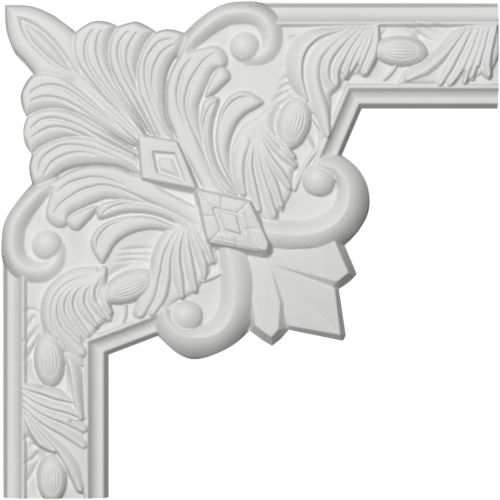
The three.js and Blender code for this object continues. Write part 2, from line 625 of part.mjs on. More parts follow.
function silhouette() {
  const keep = (points) => points;
  return [
    ...curve(path(5, 5, 30, 6, 50, 13.5, 60, 20, 76, 32), 3).slice(0, -1),
    ...curve(path(76, 32, 85, 25.5, 95, 21.2, 107, 22, 118, 26.5), 2).slice(0, -1),
    ...curve(path(118, 26.5, 127, 23.5, 137, 22, 147, 26, 156, 32), 2).slice(0, -1),
    ...curve(path(156, 32, 165, 29.5, 174, 30, 184, 33), 2).slice(0, -1),
    ...curve(path(184, 33, 199, 19.5, 215, 8.5, 230, 3, 250, 1.5, 262, 2.2), 4).slice(0, -1),
    ...straight([262, 2.2], [ARM_END, EDGE]),
    [ARM_END, EDGE],
    ...armEnd(keep),
    ...straight([ARM_END, INNER_EDGE], [RIGHT_BEND, INNER_EDGE]),
    ...straight([RIGHT_BEND, INNER_EDGE], RIGHT_CUT),
    ...curve([RIGHT_CUT, ...path(358, 169, 368, 188, 369, 210, 360, 229, 345, 246)], 4).slice(0, -1),
    ...path(345, 246, 351, 260, 357, 274, 350, 282, 339, 289, 342, 310, 346, 336, 343, 341, 325, 338),
    ...path(307, 334, 289, 330, 280, 340, 272, 346, 262, 340),
    ...curve([...path(250, 331, 230, 347, 200, 359, 180, 355), LEFT_CUT], 4).slice(0, -1),
    ...straight(LEFT_CUT, [INNER_EDGE, LEFT_BEND]),
    ...straight([INNER_EDGE, LEFT_BEND], [INNER_EDGE, ARM_END]),
    [INNER_EDGE, ARM_END],
    ...armEnd(swap).reverse(),
    ...straight([EDGE, ARM_END], [2.2, 262]),
    ...curve(path(2.2, 262, 1.5, 250, 3, 230, 8.5, 215, 19.5, 199, 32, 183), 4).slice(0, -1),
    ...curve(path(32, 183, 30, 174, 29.5, 165, 32, 154), 2).slice(0, -1),
    ...curve(path(32, 154, 26, 145, 24, 135, 24.5, 126, 27.5, 118), 2).slice(0, -1),
    ...curve(path(27.5, 118, 22.5, 107, 21, 95, 25.5, 83, 33, 73), 2).slice(0, -1),
    ...curve(path(33, 73, 20, 60, 12.5, 48, 6, 28, 5, 5), 3).slice(0, -1),
  ];
}

// Triangles over the points, joined so that no corner lies within the circle of another triangle.
class Triangulation {
  constructor() {
    const far = PARTS * 20;
    this.points = path(-far, -far, far, -far, 0, far);
    this.triangles = [];
    this.add(0, 1, 2);
  }

  add(a, b, c) {
    const [ax, ay] = this.points[a];
    const [bx, by] = this.points[b];
    const [cx, cy] = this.points[c];
    const d = 2 * ((bx - ax) * (cy - ay) - (by - ay) * (cx - ax));
    const b2 = (bx - ax) ** 2 + (by - ay) ** 2;
    const c2 = (cx - ax) ** 2 + (cy - ay) ** 2;
    const ux = ((cy - ay) * b2 - (by - ay) * c2) / d;
    const uy = ((bx - ax) * c2 - (cx - ax) * b2) / d;
    this.triangles.push({ corners: [a, b, c], x: ax + ux, y: ay + uy, r2: ux * ux + uy * uy, worst: null });
  }

  insert(x, y) {
    const index = this.points.length;
    this.points.push([x, y]);
    const rim = new Map();
    this.triangles = this.triangles.filter((t) => {
      if ((t.x - x) ** 2 + (t.y - y) ** 2 >= t.r2 - 1e-7) return true;
      t.corners.forEach((a, i) => {
        const b = t.corners[(i + 1) % 3];
        if (!rim.delete(`${b} ${a}`)) rim.set(`${a} ${b}`, [a, b]);
      });
      return false;
    });
    for (const [a, b] of rim.values()) this.add(a, b, index);
  }
}

// Adds up how far a facet misses the carving, and finds the point at which it misses most.
function findWorst(triangle, mesh, grid) {
  const [[ax, ay], [bx, by], [cx, cy]] = triangle.corners.map((i) => mesh.points[i]);
  const [ah, bh, ch] = triangle.corners.map((i) => mesh.heights[i]);
  const area = (bx - ax) * (cy - ay) - (by - ay) * (cx - ax);
  const worst = { miss: 0, sum: 0 };
  for (let y = Math.ceil(Math.min(ay, by, cy)); y <= Math.max(ay, by, cy); y++) {
    for (let x = Math.ceil(Math.min(ax, bx, cx)); x <= Math.max(ax, bx, cx); x++) {
      const height = grid[y * GRID + x];
      if (height === undefined || height < 0) continue;
      const u = ((x - ax) * (cy - ay) - (y - ay) * (cx - ax)) / area;
      const v = ((bx - ax) * (y - ay) - (by - ay) * (x - ax)) / area;
      if (u < 0 || v < 0 || u + v > 1) continue;
      const miss = Math.abs(height - (ah + (bh - ah) * u + (ch - ah) * v));
      worst.sum += miss;
      if (miss > worst.miss) Object.assign(worst, { miss, x, y });
    }
  }
  return worst;
}

function triangulateFace(ring) {
  const closed = [...ring, ring[0]];
  const grid = new Float32Array(GRID * GRID).fill(-1);
  for (let y = 0; y < GRID; y++) {
    for (let x = 0; x < GRID; x++) {
      const clear = isInside(x, y, ring) && nearest(x, y, closed).distance > EDGE_CLEARANCE;
      if (clear) grid[y * GRID + x] = heightAt(x, y);
    }
  }
  const mesh = new Triangulation();
  mesh.heights = [0, 0, 0];
  const place = (x, y, closest) => {
    const room = mesh.points.every(([px, py]) => {
      return Math.abs(px - x) > closest || Math.hypot(px - x, py - y) > closest;
    });
    if (!room) return;
    mesh.insert(x, y);
    mesh.heights.push(heightAt(x, y));
  };
  for (const [x, y] of ring) {
    mesh.insert(x, y);
    mesh.heights.push(heightAt(x, y));
  }
  for (const crease of creases) {
    for (const [x, y] of spaced(crease, CREASE_STEP)) {
      const clear = isInside(x, y, ring) && nearest(x, y, closed).distance > EDGE_CLEARANCE;
      if (clear) place(x, y, CREASE_CLOSEST);
    }
  }
  for (let pass = 0; pass < PASSES; pass++) {
    const candidates = [];
    for (const triangle of mesh.triangles) {
      if (Math.min(...triangle.corners) < 3) continue;
      triangle.worst ??= findWorst(triangle, mesh, grid);
      if (triangle.worst.miss > 0.15) candidates.push(triangle.worst);
    }
    candidates.sort((a, b) => b.sum - a.sum);
    const share = Math.ceil((FACE_VERTICES - mesh.points.length) / (PASSES - pass));
    for (const { x, y } of candidates.slice(0, share)) place(x, y, CLOSEST);
  }
  mesh.rim = followRim(mesh, ring);
  mesh.triangles = mesh.triangles.filter(({ corners }) => {
    if (Math.min(...corners) < 3) return false;
    const centre = [0, 1].map((n) => corners.reduce((sum, i) => sum + mesh.points[i][n] / 3, 0));
    return isInside(centre[0], centre[1], ring);
  });
  for (let turn = 0; turn < TURNS; turn++) turnEdges(mesh, grid);
  return mesh;
}

// Splits the edges of the outline until every one of them is an edge of the triangles too.
function followRim(mesh, ring) {
  let rim = ring.map((_, i) => i + 3);
  for (let missing = 1; missing > 0;) {
    missing = 0;
    const edges = new Set();
    for (const { corners } of mesh.triangles) {
      corners.forEach((a, i) => edges.add(`${a} ${corners[(i + 1) % 3]}`));
    }
    rim = rim.flatMap((a, i) => {
      const b = rim[(i + 1) % rim.length];
      if (edges.has(`${a} ${b}`) || edges.has(`${b} ${a}`)) return [a];
      const [x, y] = [0, 1].map((n) => (mesh.points[a][n] + mesh.points[b][n]) / 2);
      mesh.insert(x, y);
      mesh.heights.push(heightAt(x, y));
      missing++;
      return [a, mesh.points.length - 1];
    });
  }
  return rim;
}

// Turns the shared edge of two facets the other way where they then follow the carving more closely.
function turnEdges(mesh, grid) {
  const owners = new Map();
  for (const triangle of mesh.triangles) {
    triangle.worst ??= findWorst(triangle, mesh, grid);
    triangle.turned = false;
    triangle.corners.forEach((a, i) => owners.set(`${a} ${triangle.corners[(i + 1) % 3]}`, triangle));
  }
  const area = ([a, b, c]) => {
    const [[ax, ay], [bx, by], [cx, cy]] = [a, b, c].map((i) => mesh.points[i]);
    return (bx - ax) * (cy - ay) - (by - ay) * (cx - ax);
  };
  for (const first of mesh.triangles) {
    for (let i = 0; i < 3 && !first.turned; i++) {
      const [a, b, c] = [0, 1, 2].map((k) => first.corners[(i + k) % 3]);
      const second = owners.get(`${b} ${a}`);
      if (!second || second.turned) continue;
      const d = second.corners.find((k) => k !== a && k !== b);
      const pair = [[a, d, c], [d, b, c]].map((corners) => ({ corners }));
      if (pair.some(({ corners }) => area(corners) < 0.6)) continue;
      const misses = pair.map((triangle) => findWorst(triangle, mesh, grid));
      if (misses[0].sum + misses[1].sum > 0.97 * (first.worst.sum + second.worst.sum) - 0.05) continue;
      Object.assign(first, pair[0], { worst: misses[0], turned: true });
      Object.assign(second, pair[1], { worst: misses[1], turned: true });
    }
  }
}

// The solid: the carved face, the flat back under it and the edge that joins them.
function buildGeometry() {
  const ring = silhouette();
  const mesh = triangulateFace(ring);
  const positions = [];
  const put = (i, height) => {
    const [x, y] = mesh.points[i];
    positions.push((x - CENTRE_X) * PART, -height, (CENTRE_Y - y) * PART);
  };
  for (const { corners } of mesh.triangles) [...corners].reverse().forEach((a) => put(a, mesh.heights[a]));
  mesh.rim.forEach((a, i) => {
    const b = mesh.rim[(i + 1) % mesh.rim.length];
    put(a, mesh.heights[a]);
    put(b, mesh.heights[b]);
    put(a, 0);
    put(b, mesh.heights[b]);
    put(b, 0);
    put(a, 0);
  });
  const outline = mesh.rim.map((i) => new THREE.Vector2(...mesh.points[i]));
  for (const triangle of THREE.ShapeUtils.triangulateShape(outline, [])) {
    triangle.forEach((i) => put(mesh.rim[i], 0));
  }
  const geometry = new THREE.BufferGeometry();
  geometry.setAttribute('position', new THREE.Float32BufferAttribute(positions, 3));
  geometry.computeVertexNormals();
  return geometry;
}

carveCornerScrolls();
carveDishScrolls();
carveTulip();
carveTipLeaf();
carvePalmette();
carveFronds();
carveLargeLeaves();
carveRightArm();
carveLeftArm();
carveBuds();
carveJewels();

const primer = new THREE.MeshStandardMaterial({ color: 0xe9e9e8, roughness: 0.55, metalness: 0 });
primer.name = 'white_primer';
const corner = new THREE.Mesh(buildGeometry(), primer);
corner.name = 'panel_moulding_corner';
const group = new THREE.Group();
group.name = 'panel_moulding_corner_part';
group.add(corner);
export default group;
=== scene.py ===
"""Looks of a carved panel moulding corner, cast in one piece and primed white.

The carving is laid out over the face in parts of the corner's overall length, counted from its outer corner to the
right and down. Every ornament presses its own rounded forms into one relief, which then becomes the visible mesh.
"""

import logging
import math
from dataclasses import dataclass
from enum import Enum
from typing import Sequence

import bpy
import numpy as np
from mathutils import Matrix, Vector

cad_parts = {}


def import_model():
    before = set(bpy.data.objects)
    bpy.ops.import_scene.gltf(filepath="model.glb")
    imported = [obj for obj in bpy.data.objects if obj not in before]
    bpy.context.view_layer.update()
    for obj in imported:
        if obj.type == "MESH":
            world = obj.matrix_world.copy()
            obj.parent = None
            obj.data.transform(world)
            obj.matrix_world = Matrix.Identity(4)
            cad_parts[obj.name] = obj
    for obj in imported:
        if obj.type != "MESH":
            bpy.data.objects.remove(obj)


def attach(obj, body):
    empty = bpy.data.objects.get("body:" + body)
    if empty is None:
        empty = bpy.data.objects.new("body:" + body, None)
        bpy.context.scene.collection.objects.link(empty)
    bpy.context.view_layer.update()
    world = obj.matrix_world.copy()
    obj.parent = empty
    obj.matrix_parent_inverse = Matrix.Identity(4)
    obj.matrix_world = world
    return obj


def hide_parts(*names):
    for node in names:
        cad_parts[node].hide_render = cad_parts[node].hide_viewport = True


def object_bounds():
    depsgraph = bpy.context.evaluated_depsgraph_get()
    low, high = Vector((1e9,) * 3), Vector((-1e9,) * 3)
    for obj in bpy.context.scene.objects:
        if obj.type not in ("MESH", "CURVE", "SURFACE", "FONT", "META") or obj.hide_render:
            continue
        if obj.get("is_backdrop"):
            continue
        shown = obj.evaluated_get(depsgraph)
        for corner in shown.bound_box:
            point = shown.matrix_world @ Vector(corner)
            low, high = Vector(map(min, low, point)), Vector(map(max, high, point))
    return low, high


log = logging.getLogger("panel_moulding_corner")

Values = float | Sequence[float]

# Lengths below this count as none, in parts.
TINY = 1e-9
# The broad section falls evenly by this share of its drop, and by the rest with this power of the way out.
BROAD_SHARE, BROAD_POWER = 0.3, 2.4
# The sides of a groove flatten out with this power of the way to its line.
GROOVE_POWER = 1.6
# The middle of the view: parts to the right, parts down and millimetres out of the back.
VIEW_MIDDLE = (250.0, 250.0, 8.0)


def path(*numbers: float) -> np.ndarray:
    """Pairs up numbers into points.

    Args:
        numbers: x and y of each point in turn, in parts.

    Returns:
        The points, one a row.
    """
    return np.array(numbers, float).reshape(-1, 2)


def curve(points: np.ndarray, steps: int = 6) -> np.ndarray:
    """Draws a smooth open curve through points.

    Args:
        points: the points it passes, one a row.
        steps: straight pieces between two of them.

    Returns:
        The points of the curve.
    """
    if len(points) < 3:
        return points
    ends = np.vstack([points[:1], points, points[-1:]])
    t = (np.arange(steps) / steps)[:, None]
    pieces = []
    for a, b, c, d in zip(ends, ends[1:], ends[2:], ends[3:]):
        u, v = (c - a) / 2, (d - b) / 2
        pieces.append(((2 * b - 2 * c + u + v) * t + (-3 * b + 3 * c - 2 * u - v)) * t * t + u * t + b)
    return np.vstack([*pieces, points[-1:]])


def loop(points: np.ndarray, steps: int = 6) -> np.ndarray:
    """Draws a smooth closed curve that has a corner only at its first point.

    Args:
        points: the points it passes, one a row.
        steps: straight pieces between two of them.

    Returns:
        The points of the curve, the first one not repeated.
    """
    return curve(np.vstack([points, points[:1]]), steps)[:-1]


@dataclass(frozen=True)
class Layout:
    """Real sizes that the drawing in parts is scaled by.

    Attributes:
        overall: length and height of the corner, in metres.
        parts: parts that the overall length is divided into.
        centre: where the arms' centre lines cross, in parts.
        face: width of an arm's face, in parts.
        edge: distance of the arms' outer edges from the corner's own edge, in parts.
        end: where the arms are cut, in parts.
    """

    overall: float = 0.2976
    parts: float = 496.0
    centre: tuple[float, float] = (57.0, 55.0)
    face: float = 105.0
    edge: float = 3.0
    end: float = 498.0

    @property
    def part(self) -> float:
        """Length of one part, in metres."""
        return self.overall / self.parts

    @property
    def inner(self) -> float:
        """Place of the arms' inner edges, in parts."""
        return self.edge + self.face

    def place(self, x: np.ndarray, y: np.ndarray, height: np.ndarray) -> np.ndarray:
        """Turns places in the drawing into points of the row frame.

        Args:
            x: parts to the right.
            y: parts down.
            height: millimetres out of the back.

        Returns:
            Points in metres, one a row.
        """
        return np.column_stack([(x - self.centre[0]) * self.part, -height / 1000, (self.centre[1] - y) * self.part])


@dataclass(frozen=True)
class Nearest:
    """What is known of the nearest point of a line.

    Attributes:
        distance: distance to it, in parts.
        side: 1 on the right of the line's way and -1 on its left, as the drawing is seen.
        share: share of the line that lies before it.
        way: unit vector from it.
    """

    distance: np.ndarray
    side: np.ndarray
    share: np.ndarray
    way: tuple[np.ndarray, np.ndarray]


def nearest(x: np.ndarray, y: np.ndarray, line: np.ndarray) -> Nearest:
    """Finds the nearest point of a line for many places at once.

    Args:
        x: places to the right, in parts.
        y: places down, in parts.
        line: points of the line.

    Returns:
        The distance and where it was found.
    """
    steps = np.diff(line, axis=0)
    lengths = np.hypot(steps[:, 0], steps[:, 1])
    before = np.concatenate([[0.0], np.cumsum(lengths)])
    best = np.full(x.shape, np.inf)
    side, share, ex, ey = (np.zeros(x.shape) for _ in range(4))
    for (x0, y0), step, length, start in zip(line, steps, lengths, before):
        if length < TINY:
            continue
        ux, uy = step / length
        rx, ry = x - x0, y - y0
        t = np.clip(rx * ux + ry * uy, 0, length)
        gx, gy = rx - t * ux, ry - t * uy
        gap = gx * gx + gy * gy
        closer = gap < best
        best[closer] = gap[closer]
        side[closer] = np.sign(ux * ry - uy * rx)[closer]
        share[closer] = (start + t)[closer]
        ex[closer], ey[closer] = gx[closer], gy[closer]
    distance = np.sqrt(best)
    scale = np.maximum(distance, TINY)
    return Nearest(distance, side, share / before[-1], (ex / scale, ey / scale))


def inside(x: np.ndarray, y: np.ndarray, ring: np.ndarray) -> np.ndarray:
    """Tells which places lie within a closed outline.

    Args:
        x: places to the right, in parts.
        y: places down, in parts.
        ring: points of the outline.

    Returns:
        True where the place is inside.
    """
    within = np.zeros(x.shape, bool)
    for (ax, ay), (bx, by) in zip(ring, np.roll(ring, -1, axis=0)):
        if ay != by:
            within ^= ((ay > y) != (by > y)) & (x < (bx - ax) * (y - ay) / (by - ay) + ax)
    return within


def along(values: Values, share: np.ndarray) -> np.ndarray:
    """Reads values that are spread evenly over a line.

    Args:
        values: one number, or the numbers along the line.
        share: share of the line at which to read them.

    Returns:
        The value at each share.
    """
    numbers = np.atleast_1d(np.asarray(values, float))
    if len(numbers) == 1:
        return np.full(share.shape, numbers[0])
    return np.interp(share, np.linspace(0, 1, len(numbers)), numbers)


class Section(Enum):
    """Sections of a long raised shape."""

    ROUND = "round"
    ARCHED = "arched"
    BROAD = "broad"

    def fall(self, t: np.ndarray) -> np.ndarray:
        """Finds how far the section has come down.

        Args:
            t: share of the way from the spine to the edge.

        Returns:
            Share of the whole drop.
        """
        if self is Section.ROUND:
            return 1 - np.sqrt(1 - t * t)
        if self is Section.ARCHED:
            return t * t
        return BROAD_SHARE * t + (1 - BROAD_SHARE) * t ** BROAD_POWER


class Relief:
    """Height of the carving over a fine grid of the face, in millimetres out of the back."""

    def __init__(self, size: float = 502.0, cell: float = 0.6) -> None:
        """Starts with a bare grid.

        Args:
            size: length of the grid's sides, in parts.
            cell: distance between its points, in parts.
        """
        self.cell = cell
        self.line = np.arange(0, size + cell, cell)
        self.x, self.y = np.meshgrid(self.line, self.line)
        self.height = np.zeros(self.x.shape)

    def window(self, points: np.ndarray, margin: float) -> tuple[slice, slice]:
        """Finds the part of the grid around some points.

        Args:
            points: points, one a row.
            margin: how far around them it reaches, in parts.

        Returns:
            Slices of the grid's rows and columns.
        """
        low = np.floor((points.min(axis=0) - margin) / self.cell).astype(int).clip(0)
        high = np.ceil((points.max(axis=0) + margin) / self.cell).astype(int) + 1
        return slice(low[1], high[1]), slice(low[0], high[0])

    def _raise(self, at: tuple[slice, slice], height: np.ndarray, where: np.ndarray) -> None:
        """Raises the relief to a new height where that is higher."""
        now = self.height[at]
        self.height[at] = np.where(where, np.maximum(now, height), now)

    def pillow(self, points: np.ndarray, foot: float, rise: float, radius: float,
               lean: tuple[float, float] = (0.0, 0.0), widening: float = 0.0) -> None:
        """Raises a shape with a rounded edge.

        Args:
            points: its outline.
            foot: height at the outline, in millimetres.
            rise: how much higher its middle is, in millimetres.
            radius: width of the rounding, in parts.
            lean: way into the shape from the edge whose rounding is wider.
            widening: how many times wider that one gets.
        """
        ring = loop(points)
        at = self.window(ring, 1)
        x, y = self.x[at], self.y[at]
        found = nearest(x, y, np.vstack([ring, ring[:1]]))
        turned = np.clip(found.way[0] * lean[0] + found.way[1] * lean[1], 0, 1)
        t = np.clip(found.distance / (radius * (1 + widening * turned)), 0, 1)
        self._raise(at, foot + rise * np.sqrt(1 - (1 - t) ** 2), inside(x, y, ring))

    def level(self, points: np.ndarray, height: float) -> None:
        """Brings an area to one height.

        Args:
            points: its corners.
            height: the height, in millimetres.
        """
        at = self.window(points, 1)
        self.height[at] = np.where(inside(self.x[at], self.y[at], points), height, self.height[at])

    def plateau(self, points: np.ndarray, foot: float, top: float, slopes: Values, ridge: np.ndarray | None = None,
                falls: tuple[float, float] = (0.0, 0.0)) -> None:
        """Raises a shape with straight sides, whose top is flat or falls to both sides of a ridge.

        Args:
            points: its corners, clockwise in the drawing.
            foot: height at its sides, in millimetres.
            top: height of its top, in millimetres.
            slopes: rise of its flanks, in millimetres a part, one for all or one for each side.
            ridge: the ridge's two ends.
            falls: fall over the ridge's whole length in millimetres, and to its sides in millimetres a part.
        """
        at = self.window(points, 1)
        x, y = self.x[at], self.y[at]
        if ridge is not None:
            (ax, ay), (bx, by) = ridge
            length = math.hypot(bx - ax, by - ay)
            forward = np.clip(((bx - ax) * (x - ax) + (by - ay) * (y - ay)) / length ** 2, 0, 1)
            top = top - falls[0] * forward - falls[1] * np.abs((bx - ax) * (y - ay) - (by - ay) * (x - ax)) / length
        rise = np.full(x.shape, np.inf)
        for (ax, ay), (bx, by), slope in zip(points, np.roll(points, -1, axis=0), np.broadcast_to(slopes, len(points))):
            length = math.hypot(bx - ax, by - ay)
            rise = np.minimum(rise, slope * ((bx - ax) * (y - ay) - (by - ay) * (x - ax)) / length)
        self._raise(at, np.minimum(top, foot + rise), rise > 0)

    def sink(self, points: np.ndarray, depth: float, slope: float, smooth: bool = False) -> None:
        """Sinks a panel with sloping sides.

        Args:
            points: its outline.
            depth: how deep it goes, in millimetres.
            slope: fall of its sides, in millimetres a part.
            smooth: whether the outline is a smooth curve.
        """
        ring = loop(points) if smooth else points
        at = self.window(ring, 1)
        x, y = self.x[at], self.y[at]
        distance = nearest(x, y, np.vstack([ring, ring[:1]])).distance
        self.height[at] -= np.where(inside(x, y, ring), np.minimum(depth, slope * distance), 0)

    def blade(self, points: np.ndarray, left: Values, right: Values, top: Values, drop: Values,
              right_drop: Values | None = None, section: Section = Section.ROUND, lean: float = 0.0) -> None:
        """Raises a long rounded shape along a spine.

        Args:
            points: the spine.
            left: width on its left, in parts.
            right: width on its right, in parts.
            top: height of the spine, in millimetres.
            drop: how much lower the edges are, in millimetres.
            right_drop: the same on the right where that differs.
            section: form of the section.
            lean: how far the crest moves to the right, as a share of the width there.
        """
        spine = curve(points)
        at = self.window(spine, max(np.max(left), np.max(right)))
        found = nearest(self.x[at], self.y[at], spine)
        left_width, right_width = along(left, found.share), along(right, found.share)
        shift = lean * np.where(lean > 0, right_width, left_width)
        place = np.where(found.side > 0, found.distance, -found.distance) - shift
        width = np.where(place > 0, right_width - shift, left_width + shift)
        right_down = along(drop if right_drop is None else right_drop, found.share)
        down = np.where(place > 0, right_down, along(drop, found.share))
        t = np.clip(np.abs(place) / width, 0, 1)
        self._raise(at, along(top, found.share) - down * section.fall(t), t < 1)

    def groove(self, points: np.ndarray, width: Values, depth: Values) -> None:
        """Cuts a groove that is sharp at its bottom and flattens out to both sides.

        Args:
            points: the line it follows.
            width: its width to each side, in parts.
            depth: its depth, in millimetres.
        """
        line = curve(points)
        at = self.window(line, float(np.max(width)))
        found = nearest(self.x[at], self.y[at], line)
        t = np.clip(found.distance / along(width, found.share), 0, 1)
        self.height[at] -= along(depth, found.share) * (1 - t) ** GROOVE_POWER

    def dome(self, centre: tuple[float, float], long: float, short: float, degrees: float, foot: float,
             rise: float) -> None:
        """Raises half of a ball or of an egg.

        Args:
            centre: its middle, in parts.
            long: half of its length, in parts.
            short: half of its width, in parts.
            degrees: how far its length is turned.
            foot: height of its rim, in millimetres.
            rise: how much higher its middle is, in millimetres.
        """
        at = self.window(np.array([centre]), long)
        x, y = self.x[at] - centre[0], self.y[at] - centre[1]
        cos, sin = math.cos(math.radians(degrees)), math.sin(math.radians(degrees))
        room = 1 - ((x * cos + y * sin) / long) ** 2 - ((y * cos - x * sin) / short) ** 2
        self._raise(at, foot + rise * np.sqrt(np.clip(room, 0, 1)), room > 0)

    def soften(self, radius: float) -> None:
        """Rounds every edge a little, as primer does.

        Args:
            radius: how far the rounding reaches, in parts.
        """
        reach = int(math.ceil(3 * radius / self.cell))
        weights = np.exp(-0.5 * (np.arange(-reach, reach + 1) * self.cell / radius) ** 2)
        weights /= weights.sum()
        for axis in (0, 1):
            padded = np.pad(self.height, [(reach, reach) if axis == k else (0, 0) for k in (0, 1)], mode="edge")
            shifted = (np.take(padded, range(i, i + self.height.shape[axis]), axis=axis) for i in range(len(weights)))
            self.height = sum(weight * part for weight, part in zip(weights, shifted))


class Half(Enum):
    """The two halves of an ornament that is alike on both sides of the diagonal."""

    UPPER = "upper"
    LOWER = "lower"

    def place(self, points: np.ndarray) -> np.ndarray:
        """Places points that are drawn for the upper half.

        Args:
            points: points, one a row.

        Returns:
            The points, mirrored in the diagonal for the lower half.
        """
        return points if self is Half.UPPER else points[:, ::-1]

    @property
    def lean(self) -> tuple[float, float]:
        """Way into a lobe from its long flank in this half."""
        return (-1.0, 0.0) if self is Half.UPPER else (0.0, -1.0)


@dataclass(frozen=True)
class Outline:
    """The edge of the whole corner.

    Attributes:
        layout: sizes it is drawn in.
    """

    layout: Layout

    def ring(self) -> np.ndarray:
        """Draws the outline.

        Returns:
            Its points, clockwise in the drawing, in parts.
        """
        edge, inner, end = self.layout.edge, self.layout.inner, self.layout.end
        petals = path(357, 274, 350, 282, 339, 289, 346, 336, 343, 341, 289, 330, 280, 340, 272, 346, 262, 340,
                      250, 331)
        # Each run starts where the one before it ends, a run of one point is straight.
        runs = [
            path(5, 5),
            path(30, 6, 50, 13.5, 60, 20, 76, 32),
            path(85, 25.5, 95, 21.2, 107, 22, 118, 26.5),
            path(127, 23.5, 137, 22, 147, 26, 156, 32),
            path(165, 29.5, 174, 30, 184, 33),
            path(199, 19.5, 215, 8.5, 230, 3, 250, 1.5, 262, 2.2),
            *path(end, edge, end, inner, 362, inner, 342, 155)[:, None],
            path(358, 169, 368, 188, 369, 210, 360, 229, 345, 246),
            *petals[:, None],
            path(230, 347, 200, 359, 180, 355, 158, 336),
            *path(inner, 355, inner, end, edge, end, 2.2, 262)[:, None],
            path(1.5, 250, 3, 230, 8.5, 215, 19.5, 199, 32, 183),
            path(30, 174, 29.5, 165, 32, 154),
            path(26, 145, 24, 135, 24.5, 126, 27.5, 118),
            path(22.5, 107, 21, 95, 25.5, 83, 33, 73),
            path(20, 60, 12.5, 48, 6, 28, 5, 5),
        ]
        return np.vstack([curve(np.vstack([last[-1:], run]), 8)[:-1] for last, run in zip(runs, runs[1:])])


@dataclass(frozen=True)
class Mouldings:
    """The plain ground and the moulded borders of both arms.

    Attributes:
        layout: sizes they are drawn in.
        edge_height: height of the arm's outer edge, in millimetres.
        band: height of the hollow band's foot, in millimetres.
        fillet: height of the fillet, in millimetres.
        field: height of the ground between the borders, in millimetres.
        palmette: height of the ground under the palmette, in millimetres.
        hollow: distance from the edge in parts and share of the way up to the fillet, along the hollow.
        outer_start: where the outer borders start under the corner scrolls, in parts.
        palmette_end: how far the ground under the palmette reaches, in parts.
        overrun: how far the borders run past the arms' ends, in parts.
    """

    layout: Layout
    edge_height: float = 3.2
    band: float = 8.8
    fillet: float = 14.0
    field: float = 11.0
    palmette: float = 7.0
    hollow: tuple[float, ...] = (10, 0, 12, 0.07, 14, 0.2, 16, 0.4, 17.2, 0.58)
    outer_start: float = 256.0
    palmette_end: float = 186.0
    overrun: float = 20.0

    def section(self) -> np.ndarray:
        """Draws the border's section.

        Returns:
            Distance from the edge in parts and height in millimetres, one pair a row.
        """
        hollow = path(*self.hollow)
        hollow[:, 1] = self.band + hollow[:, 1] * (self.fillet - self.band)
        return np.vstack([path(0, self.edge_height, 4.3, self.band - 0.2, 5.2, self.band), hollow,
                          path(19.4, self.fillet, 22, self.fillet, 24.4, self.field)])

    def carve(self, relief: Relief) -> None:
        """Lays the ground and the borders.

        Args:
            relief: the relief to press them into.
        """
        edge, inner, end = self.layout.edge, self.layout.inner, self.layout.end + self.overrun
        start = self.outer_start
        borders = [
            [path(end, edge, start, edge)],
            [path(edge, start, edge, end)],
            [path(inner, inner, end, inner), path(342, 155, 362, inner), path(end, 158, inner, 158)],
            [path(inner, end, inner, inner), path(inner, 355, 158, 336), path(162, inner, 162, end)],
        ]
        section = self.section()
        height = np.full(relief.x.shape, np.inf)
        carved = (relief.x > start) | (relief.y > start)
        for border in borders:
            distance = np.full(relief.x.shape, -np.inf)
            for (ax, ay), (bx, by) in border:
                side = ((bx - ax) * (relief.y - ay) - (by - ay) * (relief.x - ax)) / math.hypot(bx - ax, by - ay)
                distance = np.maximum(distance, -side)
            there = np.interp(distance, section[:, 0], section[:, 1])
            height = np.where(carved & (distance < section[-1, 0]), np.minimum(height, there), height)
        height[np.isinf(height)] = self.field
        height[(relief.x < self.palmette_end) & (relief.y < self.palmette_end)] = self.palmette
        relief.height[:] = height


@dataclass(frozen=True)
class TipLeaf:
    """The pointed leaf at the outer corner and the stem behind it.

    Attributes:
        foot: height of its edge, in millimetres.
        rise: how much higher its rim is, in millimetres.
        radius: width of the rounding of its edge, in parts.
        recess: depth of the hollow inside the rim, in millimetres.
        recess_slope: fall of the hollow's sides, in millimetres a part.
        tongue_foot: height of the edge of the tongue in the hollow, in millimetres.
        tongue_rise: how much higher the tongue's middle is, in millimetres.
        tongue_radius: width of the rounding of the tongue's edge, in parts.
        stem_width: half widths along the stem, in parts.
        stem_top: heights of the stem's crest, in millimetres.
        stem_drop: how much lower the stem's sides are, in millimetres.
        flute_width: half widths along the flute in the stem, in parts.
        flute_depth: depths along that flute, in millimetres.
    """

    foot: float = 6.5
    rise: float = 6.5
    radius: float = 12.0
    recess: float = 3.2
    recess_slope: float = 0.75
    tongue_foot: float = 9.3
    tongue_rise: float = 4.6
    tongue_radius: float = 9.0
    stem_width: tuple[float, ...] = (9, 10, 8, 5)
    stem_top: tuple[float, ...] = (12, 13.5, 15.5, 18)
    stem_drop: tuple[float, ...] = (3, 3, 3, 2)
    flute_width: tuple[float, ...] = (5, 8, 6, 3)
    flute_depth: tuple[float, ...] = (1, 3, 3, 1.5)

    def carve(self, relief: Relief) -> None:
        """Presses the leaf into the relief.

        Args:
            relief: the relief to press it into.
        """
        edge = path(5, 5, 30, 6, 50, 13.5, 70, 27, 78, 38, 82, 58, 84, 84, 58, 82, 38, 78, 27, 65, 12, 48, 6, 26)
        hollow = path(17, 16, 34, 22, 49, 33, 61, 46, 71, 61, 79, 78, 69, 75, 56, 68, 43, 58, 31, 46, 23, 34)
        tongue = path(21, 20, 36, 28, 49, 39, 60, 52, 69, 65, 75, 75, 64, 70, 51, 61, 39, 50, 28, 37)
        stem = path(72, 70, 95, 92, 120, 116, 145, 142)
        relief.pillow(edge, self.foot, self.rise, self.radius)
        relief.sink(hollow, self.recess, self.recess_slope, smooth=True)
        relief.pillow(tongue, self.tongue_foot, self.tongue_rise, self.tongue_radius)
        relief.blade(stem, self.stem_width, self.stem_width, self.stem_top, self.stem_drop)
        relief.groove(stem, self.flute_width, self.flute_depth)


